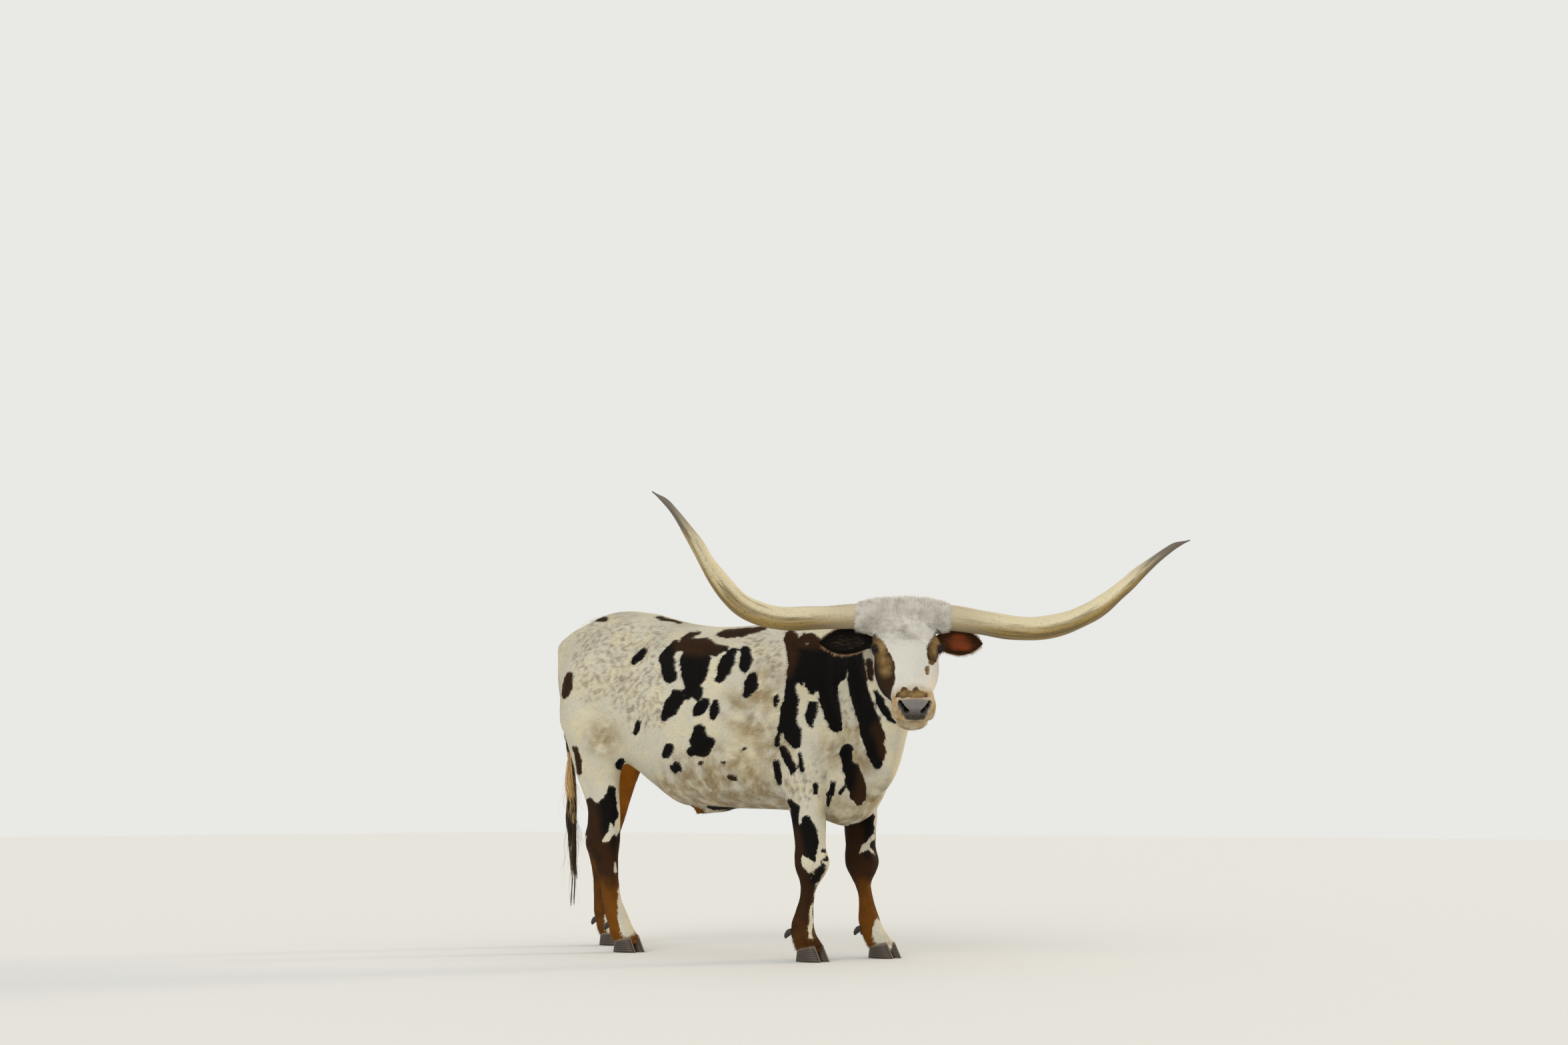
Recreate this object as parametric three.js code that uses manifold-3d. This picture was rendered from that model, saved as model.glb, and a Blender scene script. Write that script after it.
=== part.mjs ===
// A life-size longhorn steer, standing, with its head turned to its right.
// Millimetres. +X points where the body faces, +Y to the animal's left, +Z up, and the floor is at Z 0.
// The body is first laid out in the stance frame, whose origin is on the floor under the middle of the trunk,
// and at the end the whole is moved so that the origin is under the middle of its own box.
import * as THREE from 'three';
import { LoftGeometry } from 'three/addons/geometries/LoftGeometry.js';
import { mergeVertices } from 'three/addons/utils/BufferGeometryUtils.js';
import Module from 'manifold-3d';

const wasm = await Module();
wasm.setup();

// Driving dimensions
const GAP = 0.3; // between solids that touch
const HEAD_TURN = -49.7; // of the face from the body's own heading, in degrees, to the animal's right
const HEAD_PITCH = 40; // of the face below the horizontal, in degrees
const POLL = [1122, -298, 1396]; // the top of the skull between the horns, at its back edge
const EYE_RADIUS = 21;
const EYE_PLACE = { along: 225, side: 112, depth: -46 };
const HORN_SEAT = { along: 32, side: 0, depth: -32 };
const EAR_SEAT = { along: 86, side: 120, depth: -116 };
const EAR_LENGTH = 204;
const LEG_RINGS = 30;
const LEG_SIDES = 12;
const FORE_CUT = 660; // height at which a foreleg meets the shoulder
const HIND_CUT = 850; // height at which a hind leg meets the thigh
const ORIGIN_SHIFT = [-543.9, 324.6]; // from the stance frame to the middle of the whole box

// Trunk: [x, top, bottom, half width, height of the widest line, roundness above, roundness below]
const TRUNK = [
  [-884, 1310, 1180, 40, 1255, 2, 2],
  [-872, 1368, 1085, 100, 1245, 2, 2],
  [-845, 1410, 1000, 150, 1225, 2, 2],
  [-790, 1444, 930, 196, 1185, 2, 2],
  [-700, 1474, 870, 230, 1150, 1.9, 2],
  [-580, 1491, 835, 254, 1135, 1.8, 2.1],
  [-420, 1475, 762, 266, 1110, 1.8, 2.2],
  [-300, 1445, 686, 278, 1070, 1.8, 2.2],
  [-160, 1412, 618, 304, 1030, 1.85, 2.2],
  [0, 1392, 612, 326, 1005, 1.9, 2.2],
  [150, 1389, 608, 331, 990, 1.9, 2.2],
  [300, 1394, 604, 318, 985, 1.8, 2.1],
  [430, 1404, 594, 288, 980, 1.7, 2],
  [540, 1401, 562, 258, 965, 1.6, 2],
  [640, 1370, 537, 230, 940, 1.7, 2],
  [720, 1300, 564, 196, 925, 1.8, 2],
  [782, 1215, 634, 150, 920, 2, 2],
  [826, 1120, 716, 100, 920, 2, 2],
  [848, 1020, 810, 45, 920, 2, 2],
];

// Neck: [x, y, z of its middle line, half height above, half height below, half width, roundness above, below]
const NECK = [
  [430, 0, 1010, 375, 400, 190, 1.7, 1.8],
  [600, -2, 1040, 350, 440, 186, 1.7, 1.7],
  [740, -28, 1090, 304, 425, 164, 1.7, 1.6],
  [850, -82, 1150, 250, 358, 142, 1.8, 1.6],
  [935, -140, 1206, 200, 280, 126, 1.9, 1.7],
  [1010, -194, 1252, 154, 210, 116, 2, 2],
  [1076, -246, 1284, 112, 160, 104, 2, 2],
];

// Head, in its own frame: [along the face from the poll, top, bottom, half width, widest line, above, below]
const SKULL = [
  [-50, -50, -110, 44, -80, 2, 2],
  [-38, -22, -142, 80, -84, 2, 2],
  [-8, 2, -178, 106, -86, 2.3, 2],
  [45, 4, -214, 118, -80, 2.6, 2],
  [110, 4, -244, 120, -72, 2.6, 1.9],
  [175, 1, -258, 120, -64, 2.4, 2],
  [240, -5, -254, 118, -76, 2.2, 2.3],
  [300, -12, -238, 110, -86, 2.2, 2.5],
  [360, -18, -208, 97, -90, 2.1, 2.5],
  [415, -22, -170, 85, -90, 2.2, 2.5],
  [465, -24, -156, 78, -92, 2.3, 2.8],
  [508, -28, -150, 80, -98, 2.4, 3],
  [536, -38, -148, 81, -100, 2.4, 3],
  [554, -52, -146, 74, -102, 2.4, 2.8],
  [566, -70, -138, 52, -104, 2.2, 2.4],
];

// Lower jaw from the cheek to the chin, under the line of the mouth, in the head's frame
const JAW = [
  [300, -130, -214, 54, -160, 2, 2],
  [370, -126, -206, 54, -160, 2, 2],
  [440, -126, -194, 54, -156, 2.2, 2.2],
  [495, -128, -192, 58, -158, 2.4, 2.2],
  [525, -130, -194, 59, -160, 2.4, 2.2],
  [545, -134, -184, 48, -158, 2.4, 2.2],
  [554, -140, -170, 28, -156, 2, 2],
];

// Skin and hair round the roots of the horns, from one side of the head to the other: [side, radius]
const POLL_ROLL = [
  [-200, 52],
  [-170, 62],
  [-110, 68],
  [0, 74],
  [110, 68],
  [170, 62],
  [200, 52],
];

// A leg, from the trunk down: [height, back, front, middle of its width, half width, roundness]
const FORELEG = [
  [1100, 450, 650, 140, 66, 2],
  [980, 430, 690, 168, 84, 2],
  [860, 424, 712, 180, 90, 2],
  [770, 436, 700, 186, 86, 2],
  [700, 452, 672, 186, 76, 2],
  [640, 474, 660, 184, 66, 2],
  [577, 497, 660, 182, 58, 2],
  [504, 510, 653, 178, 53, 2.1],
  [456, 518, 650, 177, 54, 2.2],
  [420, 520, 657, 176, 58, 2.3],
  [389, 520, 661, 176, 60, 2.4],
  [360, 524, 652, 176, 54, 2.3],
  [329, 536, 632, 176, 44, 2.2],
  [298, 542, 608, 176, 36, 2.1],
  [262, 540, 597, 177, 32, 2.1],
  [215, 525, 590, 178, 34, 2.2],
  [177, 512, 589, 179, 40, 2.3],
  [147, 502, 590, 180, 45, 2.3],
  [117, 502, 598, 180, 44, 2.3],
  [85, 512, 616, 180, 48, 2.4],
  [40, 532, 648, 180, 54, 2.4],
];
const HINDLEG = [
  [1210, -760, -500, 140, 84, 2],
  [1120, -796, -450, 160, 98, 2],
  [1000, -788, -408, 172, 102, 2],
  [930, -752, -398, 178, 97, 2],
  [860, -722, -406, 180, 88, 2],
  [777, -693, -446, 178, 72, 2],
  [701, -661, -456, 174, 60, 2],
  [644, -638, -457, 170, 53, 2],
  [594, -627, -456, 167, 49, 2.1],
  [544, -630, -457, 165, 47, 2.2],
  [493, -639, -461, 164, 48, 2.3],
  [455, -632, -466, 163, 47, 2.3],
  [400, -599, -469, 163, 40, 2.2],
  [339, -569, -467, 163, 34, 2.2],
  [276, -549, -461, 163, 31, 2.2],
  [225, -538, -452, 163, 34, 2.2],
  [186, -524, -434, 163, 40, 2.3],
  [150, -514, -414, 163, 45, 2.3],
  [118, -500, -396, 163, 44, 2.3],
  [85, -486, -376, 163, 48, 2.4],
  [40, -458, -342, 163, 53, 2.4],
];

// How far each leg stands forward of its table: [height, forward]
const STILL = [
  [1300, 0],
  [0, 0],
];
const LEGS = {
  fore_right: { table: FORELEG, side: -1, cut: FORE_CUT, sway: STILL },
  fore_left: {
    table: FORELEG,
    side: 1,
    cut: FORE_CUT,
    sway: [
      [1300, 0],
      [400, 0],
      [330, 8],
      [277, 30],
      [240, 46],
      [165, 73],
      [105, 90],
      [0, 104],
    ],
  },
  hind_right: { table: HINDLEG, side: -1, cut: HIND_CUT, sway: STILL },
  hind_left: {
    table: HINDLEG,
    side: 1,
    cut: HIND_CUT,
    sway: [
      [1300, 0],
      [1150, -8],
      [1000, -70],
      [860, -150],
      [787, -190],
      [683, -222],
      [555, -267],
      [480, -296],
      [370, -322],
      [225, -345],
      [109, -366],
      [0, -372],
    ],
  },
};

// Horns in the head's level frame: [out to the side, forward, up, radius]
const HORN_LEFT = [
  [60, 0, 2, 50],
  [199, 0, -3, 49.5],
  [326, 0, -22, 48.3],
  [427, 10, -39, 47.2],
  [529, 20, -43, 45.9],
  [627, 35, -25, 43.6],
  [730, 50, 19, 39.3],
  [781, 60, 52, 36.4],
  [831, 70, 92, 31.9],
  [871, 80, 126, 28.9],
  [914, 90, 166, 25],
  [955, 95, 200, 20.8],
  [997, 100, 234, 17.2],
  [1028, 100, 257, 14.6],
  [1059, 100, 277, 11.7],
  [1121, 90, 300, 2.6],
];
const HORN_RIGHT = [
  [60, 0, 4, 49],
  [186, 0, 3, 48.1],
  [350, 0, -5, 45.5],
  [463, 10, -9, 46],
  [545, 20, 4, 44.7],
  [627, 35, 39, 43.3],
  [678, 50, 83, 41.3],
  [723, 62, 137, 36.1],
  [766, 75, 199, 30.7],
  [805, 88, 266, 26.8],
  [835, 95, 312, 21.9],
  [866, 100, 358, 18],
  [897, 100, 399, 14.4],
  [928, 98, 434, 11.6],
  [981, 90, 475, 2.6],
];

// Tail down to the root of its brush: [x, y, z, radius]
const DOCK = [
  [-780, 0, 1400, 34],
  [-846, 0, 1390, 33],
  [-894, 0, 1335, 30],
  [-918, 0, 1240, 26],
  [-929, 0, 1100, 23],
  [-926, 0, 1010, 21],
  [-906, 0, 900, 18],
  [-888, 0, 790, 16],
];
const BRUSH = { root: 815, tip: 170, x: -878, spread: 34, locks: 12 };

// Forms raised on the trunk: [x, y, z, reach x, reach y, reach z, push x, push y, push z]; each is on both sides
const TRUNK_SWELLS = [
  [-430, 262, 1395, 70, 70, 62, 4, 24, 14], // hook of the hip
  [-850, 120, 1330, 45, 60, 60, -8, 8, 4], // pin bone
  [-300, 290, 1270, 110, 90, 110, 0, -30, 0], // hollow of the flank
  [-600, 250, 1090, 150, 120, 180, 0, 18, 0], // thigh
  [520, 230, 1120, 110, 120, 190, 0, 20, 0], // shoulder blade
  [690, 200, 880, 90, 100, 110, 12, 24, 0], // point of the shoulder
  [330, 310, 1000, 70, 120, 260, 0, -12, 0], // hollow behind the shoulder
  [430, 240, 700, 80, 110, 110, 0, 22, 0], // elbow
];
const HEAD_SWELLS = [
  [200, 112, -18, 50, 40, 40, 0, 10, 8], // ridge over the eye
  [265, 104, -150, 85, 60, 60, 0, 12, 0], // cheek
  [320, 90, -92, 60, 30, 40, 0, 5, 0], // bone below the eye
  [530, 52, -76, 26, 30, 30, 4, 8, 4], // wing of the nostril
];

// A row of a table at a place between its stations, by a monotone cubic in the first column
function rowAt(table, place) {
  const last = table.length - 1;
  const sign = table[last][0] > table[0][0] ? 1 : -1;
  const at = (i) => sign * table[i][0];
  const s = Math.min(Math.max(sign * place, at(0)), at(last));
  let k = 0;
  while (k < last - 1 && s > at(k + 1)) k += 1;
  const step = at(k + 1) - at(k);
  const t = (s - at(k)) / step;
  const slope = (i, column) => {
    if (i === 0 || i === last) return 0;
    const before = (table[i][column] - table[i - 1][column]) / (at(i) - at(i - 1));
    const after = (table[i + 1][column] - table[i][column]) / (at(i + 1) - at(i));
    return before * after <= 0 ? 0 : (2 * before * after) / (before + after);
  };
  const row = [place];
  for (let c = 1; c < table[0].length; c += 1) {
    const [a, b] = [table[k][c], table[k + 1][c]];
    const [ma, mb] = [slope(k, c) * step, slope(k + 1, c) * step];
    const cubic = (2 * t ** 3 - 3 * t ** 2 + 1) * a + (t ** 3 - 2 * t ** 2 + t) * ma;
    row.push(cubic + (3 * t ** 2 - 2 * t ** 3) * b + (t ** 3 - t ** 2) * mb);
  }
  return row;
}

// A closed section of superellipse quarters, as [sideways, upwards] pairs
function section({ top, bottom, half, wide = 0, above = 2, below = 2 }, sides) {
  const points = [];
  for (let i = 0; i < sides; i += 1) {
    const angle = (2 * Math.PI * i) / sides;
    const [c, s] = [Math.cos(angle), Math.sin(angle)];
    const power = 2 / (s >= 0 ? above : below);
    const reach = s >= 0 ? top - wide : wide - bottom;
    points.push([Math.sign(c) * Math.abs(c) ** power * half, wide + Math.sign(s) * Math.abs(s) ** power * reach]);
  }
  return points;
}

// Places from start to end that are closer together near both ends
function eased(start, end, count) {
  return Array.from({ length: count }, (_, i) => {
    const even = i / (count - 1);
    const round = (1 - Math.cos(Math.PI * even)) / 2;
    return start + (end - start) * (0.45 * even + 0.55 * round);
  });
}

// A closed geometry as a solid
function solid(geometry) {
  const bare = new THREE.BufferGeometry();
  bare.setAttribute('position', geometry.getAttribute('position'));
  bare.setIndex(geometry.getIndex());
  const merged = mergeVertices(bare, 1e-3);
  const index = merged.index.array;
  const kept = [];
  for (let i = 0; i < index.length; i += 3) {
    const [a, b, c] = [index[i], index[i + 1], index[i + 2]];
    if (a !== b && b !== c && c !== a) kept.push(a, b, c);
  }
  const vertProperties = merged.attributes.position.array;
  return new wasm.Manifold(new wasm.Mesh({ numProp: 3, vertProperties, triVerts: new Uint32Array(kept) }));
}

// Whether a section runs counterclockwise when it is seen from the next one
function facesNext(here, next) {
  const across = new THREE.Vector3();
  const ahead = new THREE.Vector3();
  here.forEach((point, i) => {
    across.add(point.clone().cross(here[(i + 1) % here.length]));
    ahead.add(next[i]).sub(point);
  });
  return across.dot(ahead) > 0;
}

function loft(sections) {
  const middle = Math.floor(sections.length / 2);
  const ordered = facesNext(sections[middle], sections[middle + 1])
    ? sections
    : sections.map((points) => [...points].reverse());
  return solid(new LoftGeometry(ordered, { capStart: true, capEnd: true }));
}

// A surface point pushed by every raised form near it, on the form's own side and its twin's
function swollen(point, swells) {
  const moved = point.clone();
  for (const [x, y, z, rx, ry, rz, px, py, pz] of swells) {
    for (const side of y === 0 ? [1] : [1, -1]) {
      const far = ((point.x - x) / rx) ** 2 + ((point.y - side * y) / ry) ** 2 + ((point.z - z) / rz) ** 2;
      const share = Math.exp(-far);
      moved.add(new THREE.Vector3(px, side * py, pz).multiplyScalar(share));
    }
  }
  return moved;
}

// A loft whose sections stand across the X axis
function straightLoft(table, rings, sides, swells = []) {
  const sections = eased(table[0][0], table[table.length - 1][0], rings).map((x) => {
    const [, top, bottom, half, wide, above, below] = rowAt(table, x);
    const points = section({ top, bottom, half, wide, above, below }, sides);
    return points.map(([y, z]) => swollen(new THREE.Vector3(x, y, z), swells));
  });
  return loft(sections);
}

// A frame for each place along a smooth line through points: its middle, side and up directions
function framesAlong(points, count, level) {
  const curve = new THREE.CatmullRomCurve3(points, false, 'centripetal');
  return Array.from({ length: count }, (_, i) => {
    const t = i / (count - 1);
    const forward = curve.getTangent(t);
    const side = level.clone().cross(forward).normalize();
    return { t, middle: curve.getPoint(t), forward, side, up: forward.clone().cross(side).normalize() };
  });
}

// A loft carried along a bent line, with the rest of each row giving its section
function bentLoft(table, rings, sides, sectionOf, level = new THREE.Vector3(0, 0, 1)) {
  const stations = table.map((row, i) => [i, ...row]);
  const frames = framesAlong(table.map(([x, y, z]) => new THREE.Vector3(x, y, z)), rings, level);
  const sections = frames.map(({ t, middle, side, up }) => {
    const row = rowAt(stations, t * (table.length - 1)).slice(4);
    return section(sectionOf(row), sides).map(([s, u]) =>
      middle.clone().addScaledVector(side, s).addScaledVector(up, u),
    );
  });
  return loft(sections);
}

const roundSection = ([radius]) => ({ top: radius, bottom: -radius, half: radius });
const neckSection = ([up, down, half, above, below]) => ({ top: up, bottom: -down, half, above, below });

// Head frame: x runs down the face, y to the animal's left, z up off the forehead
const turn = THREE.MathUtils.degToRad(HEAD_TURN);
const pitch = THREE.MathUtils.degToRad(HEAD_PITCH);
const heading = new THREE.Vector3(Math.cos(turn), Math.sin(turn), 0);
const leftward = new THREE.Vector3(-Math.sin(turn), Math.cos(turn), 0);
const skyward = new THREE.Vector3(0, 0, 1);
const downFace = heading.clone().multiplyScalar(Math.cos(pitch)).addScaledVector(skyward, -Math.sin(pitch));
const offFace = heading.clone().multiplyScalar(Math.sin(pitch)).addScaledVector(skyward, Math.cos(pitch));
const headFrame = new THREE.Matrix4().makeBasis(downFace, leftward, offFace).setPosition(...POLL);
const onHead = ({ along, side, depth }, hand = 1) => new THREE.Vector3(along, hand * side, depth).applyMatrix4(headFrame);

const placed = (body, matrix) => body.transform(matrix.elements);
const moved = (body, vector) => body.translate([vector.x, vector.y, vector.z]);
const union = (bodies) => wasm.Manifold.union(bodies);

// The largest closed surface of a solid
function largest(body) {
  const pieces = body.decompose();
  return pieces.reduce((best, piece) => (piece.volume() > best.volume() ? piece : best));
}

function ball([x, y, z], [rx, ry, rz], across = 16, high = 10) {
  const geometry = new THREE.SphereGeometry(1, across, high).scale(rx, ry, rz).translate(x, y, z);
  return solid(geometry);
}

// Trunk with the sheath under the belly
function makeTrunk() {
  const body = straightLoft(TRUNK, 36, 24, TRUNK_SWELLS);
  const sheath = bentLoft(
    [[60, 0, 632, 26], [-20, 0, 624, 32], [-90, 0, 620, 33], [-140, 0, 606, 27], [-152, 0, 584, 9]],
    8,
    8,
    roundSection,
    new THREE.Vector3(0, 1, 0),
  );
  return union([body, sheath]);
}

// A leg as a stack of level sections
function makeLeg({ table, side, sway }) {
  const [top, bottom] = [table[0][0], table[table.length - 1][0]];
  const sections = Array.from({ length: LEG_RINGS }, (_, i) => {
    const z = top + (bottom - top) * (i / (LEG_RINGS - 1));
    const [, back, front, middle, half, roundness] = rowAt(table, z);
    const shape = { top: half, bottom: -half, half: (front - back) / 2, above: roundness, below: roundness };
    const centre = (front + back) / 2 + rowAt(sway, z)[1];
    return section(shape, LEG_SIDES).map(([x, y]) => new THREE.Vector3(centre + x, side * middle + y, z));
  });
  return loft(sections);
}

// One claw of a cloven hoof: a stack of sections from the sole up to the sloping coronet
function makeClaw(middleX, middleY, hand) {
  const [heel, toe, width] = [-55, 68, 52];
  const sections = [0, 0.12, 0.55, 1].map((v) => {
    const [back, front] = [heel + 8 * v, toe - 34 * v ** 0.9];
    const half = (width / 2) * (v === 0 ? 0.94 : 1 - 0.1 * v);
    return section({ top: 1, bottom: -1, half: 1, above: 2.3, below: 2.3 }, 12).map(([x, y]) => {
      const along = (front + back) / 2 + (x * (front - back)) / 2;
      const across = y * half * (1 - 0.18 * Math.max(x, 0));
      const coronet = 48 + 0.2 * (along - heel);
      return new THREE.Vector3(middleX + along, middleY + hand * (across + 0.03 * along), v * coronet);
    });
  });
  return loft(sections);
}

// A dewclaw: a short blunt cone that hangs behind the fetlock
function makeDewclaw(x, y, z) {
  return bentLoft(
    [[x + 20, y, z + 8, 12], [x + 4, y, z + 2, 13], [x - 9, y, z - 10, 10], [x - 14, y, z - 20, 5]],
    4,
    7,
    roundSection,
    new THREE.Vector3(0, 1, 0),
  );
}

// Eye, lids and their opening, in the head's frame; hand is 1 on the left and -1 on the right
const eyeAxis = (hand) => new THREE.Vector3(0.48, hand * 0.68, 0.55).normalize();
function eyeTools(hand) {
  const centre = [EYE_PLACE.along, hand * EYE_PLACE.side, EYE_PLACE.depth];
  const lids = ball(centre, [31, 25, 26], 16, 10);
  const socket = ball(centre, [EYE_RADIUS + GAP, EYE_RADIUS + GAP, EYE_RADIUS + GAP], 14, 10);
  const almond = new THREE.Shape();
  almond.moveTo(-19, -2);
  almond.quadraticCurveTo(-2, 23, 19, 0);
  almond.quadraticCurveTo(0, -19, -19, -2);
  const prism = new THREE.ExtrudeGeometry(almond, { depth: 40, bevelEnabled: false, curveSegments: 6 });
  const out = eyeAxis(hand);
  const along = new THREE.Vector3(1, 0, 0).addScaledVector(out, -out.x).normalize();
  const basis = new THREE.Matrix4().makeBasis(along, out.clone().cross(along), out).setPosition(...centre);
  return { lids, socket, opening: solid(prism.applyMatrix4(basis)) };
}

// A thin groove round the muzzle at the line of the mouth
function mouthGroove() {
  const corner = 438;
  const front = 586;
  const depth = -139;
  const outline = new THREE.Shape();
  outline.moveTo(corner, -96);
  outline.lineTo(front, -96);
  outline.lineTo(front, 96);
  outline.lineTo(corner, 96);
  const core = new THREE.Path();
  core.moveTo(corner - 20, -56);
  core.quadraticCurveTo(490, -76, 530, -68);
  core.quadraticCurveTo(556, -46, 556, 0);
  core.quadraticCurveTo(556, 46, 530, 68);
  core.quadraticCurveTo(490, 76, corner - 20, 56);
  const cut = (shape, thick, z) =>
    solid(new THREE.ExtrudeGeometry(shape, { depth: thick, bevelEnabled: false, curveSegments: 5 }).translate(0, 0, z));
  const inner = new THREE.Shape(core.getPoints(5));
  return cut(outline, 3, depth).subtract(cut(inner, 9, depth - 3));
}

function nostril(hand) {
  const pit = ball([0, 0, 0], [26, 11, 17], 12, 8).rotate([hand * 24, 14, 0]);
  return pit.translate([558, hand * 43, -80]);
}

// The roll that the horns grow out of, carried across the head
function makePollRoll() {
  const { along, depth } = HORN_SEAT;
  const sections = eased(POLL_ROLL[0][0], POLL_ROLL[POLL_ROLL.length - 1][0], 13).map((side) => {
    const [, radius] = rowAt(POLL_ROLL, side);
    const ring = section({ top: radius, bottom: -radius, half: radius }, 14);
    return ring.map(([x, z]) => new THREE.Vector3(along + x, side, depth + z));
  });
  return loft(sections);
}

function makeHead() {
  const skull = straightLoft(SKULL, 28, 24, HEAD_SWELLS);
  const jaw = straightLoft(JAW, 12, 16);
  const roll = makePollRoll();
  const eyes = [1, -1].map(eyeTools);
  const flesh = union([skull, jaw, roll, ...eyes.map(({ lids }) => lids)]);
  const cuts = union([mouthGroove(), nostril(1), nostril(-1), ...eyes.flatMap(({ socket, opening }) => [socket, opening])]);
  return placed(flesh.subtract(cuts), headFrame);
}

// An ear as a leaf with a hollow front, carried along its own axis
function makeEar(hand) {
  const out = new THREE.Vector3(-0.25, hand * 0.95, -0.1).transformDirection(headFrame);
  const lip = new THREE.Vector3(0.62, 0, 0.55).transformDirection(headFrame);
  const down = out.clone().cross(lip).normalize().multiplyScalar(-hand);
  const face = down.clone().cross(out).normalize().multiplyScalar(-hand);
  const seat = onHead(EAR_SEAT, hand);
  const rows = [
    [-0.12, 20, 17, 15], [0.04, 25, 20, 13], [0.16, 36, 24, 8], [0.32, 48, 25, 6], [0.5, 53, 22, 5.5],
    [0.68, 47, 17, 5], [0.84, 32, 11, 4.5], [0.95, 16, 6, 4], [1, 6, 3, 3],
  ];
  const sections = Array.from({ length: 14 }, (_, i) => {
    const t = -0.12 + 1.12 * (i / 13);
    const [, half, cup, wall] = rowAt(rows, t);
    const back = [];
    const front = [];
    for (let k = 0; k <= 8; k += 1) {
      const angle = (Math.PI * k) / 8;
      const [w, d] = [Math.cos(angle) * half, -Math.sin(angle) * cup];
      back.push([w, d]);
      if (k > 0 && k < 8) front.unshift([w * (1 - wall / half), Math.min(d + wall + cup * 0.02, 0)]);
    }
    return [...back, ...front].map(([w, d]) =>
      seat.clone().addScaledVector(out, t * EAR_LENGTH).addScaledVector(down, w).addScaledVector(face, d + cup * 0.5)
        .add(new THREE.Vector3(0, 0, -14 * t * t)),
    );
  });
  return loft(sections);
}

// A horn as a round tube that tapers along its own line
function makeHorn(table, hand) {
  const root = onHead(HORN_SEAT);
  const rows = table.map(([side, forward, up, radius]) => {
    const p = root.clone().addScaledVector(leftward, hand * side).addScaledVector(heading, forward).addScaledVector(skyward, up);
    return [p.x, p.y, p.z, radius];
  });
  return bentLoft(rows, 26, 10, roundSection, heading);
}

// One lock of the tail's brush: a flat taper that hangs and bends
function makeLock(index, count) {
  const turnAngle = (2 * Math.PI * index * 0.382);
  const ring = 4 + 9 * (index / count);
  const rootZ = BRUSH.root + 40 - 190 * (index / count);
  const tipZ = BRUSH.tip + 260 * (((index * 7) % count) / count) * (index % 4 === 0 ? 0.2 : 1);
  const [c, s] = [Math.cos(turnAngle), Math.sin(turnAngle)];
  const spread = BRUSH.spread * (0.55 + 0.45 * (((index * 5) % count) / count));
  const points = [0, 0.25, 0.5, 0.75, 1].map((t) => {
    const out = ring + spread * Math.sin(Math.PI * Math.min(t * 1.05, 1)) * 0.8 + 5 * Math.sin(6 * t + index);
    return new THREE.Vector3(BRUSH.x + c * out + 16 * t, s * out, rootZ + (tipZ - rootZ) * t);
  });
  const half = [7, 11, 10, 7, 1.2];
  const rows = half.map((h, i) => [i, h]);
  const frames = framesAlong(points, 6, new THREE.Vector3(c, s, 0));
  const sections = frames.map(({ t, middle, side, up }) => {
    const [, h] = rowAt(rows, t * 4);
    return [[h, 0], [0, h * 0.42], [-h, 0], [0, -h * 0.42]].map(([a, b]) =>
      middle.clone().addScaledVector(side, a).addScaledVector(up, b),
    );
  });
  return loft(sections);
}

function makeBrush() {
  const core = bentLoft(
    [[-892, 0, BRUSH.root + 30, 15], [-886, 0, 740, 18], [-882, 0, 660, 15], [-878, 0, 580, 11], [-876, 0, 515, 5]],
    8,
    8,
    roundSection,
    new THREE.Vector3(0, 1, 0),
  );
  const locks = Array.from({ length: BRUSH.locks }, (_, i) => makeLock(i, BRUSH.locks));
  return largest(union([core, ...locks]));
}

// Solids of the whole animal, in the stance frame
const trunk = makeTrunk();
const neck = bentLoft(NECK, 18, 26, neckSection);
const head = makeHead();
const legs = Object.fromEntries(Object.entries(LEGS).map(([name, leg]) => [name, makeLeg(leg)]));

// The plane through a point across a direction, as manifold-3d takes it
const planeOffset = (normal, point) => normal.dot(point);
const array = (v) => [v.x, v.y, v.z];

// The neck leaves the trunk on a plane from the withers to the front of the chest, and the head leaves the
// neck on one from the poll to the angle of the jaw
const neckBase = { normal: new THREE.Vector3(0.868, 0, 0.496).normalize(), point: new THREE.Vector3(585, 0, 1390) };
const throat = {
  normal: new THREE.Vector3(0.763, 0, 0.647).transformDirection(headFrame),
  point: onHead({ along: -85, side: 0, depth: 0 }),
};
function above(body, { normal, point }, gap = 0) {
  return body.trimByPlane(array(normal), planeOffset(normal, point) + gap);
}
function below(body, { normal, point }) {
  return body.trimByPlane(array(normal.clone().negate()), -planeOffset(normal, point));
}

const level = (z) => ({ normal: skyward, point: new THREE.Vector3(0, 0, z) });
const upperLegs = Object.entries(legs).map(([name, leg]) => above(leg, level(LEGS[name].cut)));
const flesh = union([trunk, ...upperLegs]);
const wholeNeck = below(union([neck, trunk, ...upperLegs, below(head, throat)]), throat);
const nodes = {};
nodes.torso = largest(below(union([flesh, neck]), neckBase));
nodes.neck = largest(above(wholeNeck, neckBase, GAP));
nodes.head = largest(above(union([head, neck]), throat, GAP));

// The neck ends inside the head, so the head keeps its sockets by being cut again
const sockets = union([1, -1].map((hand) => placed(eyeTools(hand).socket, headFrame)));
nodes.head = largest(nodes.head.subtract(sockets));

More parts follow.
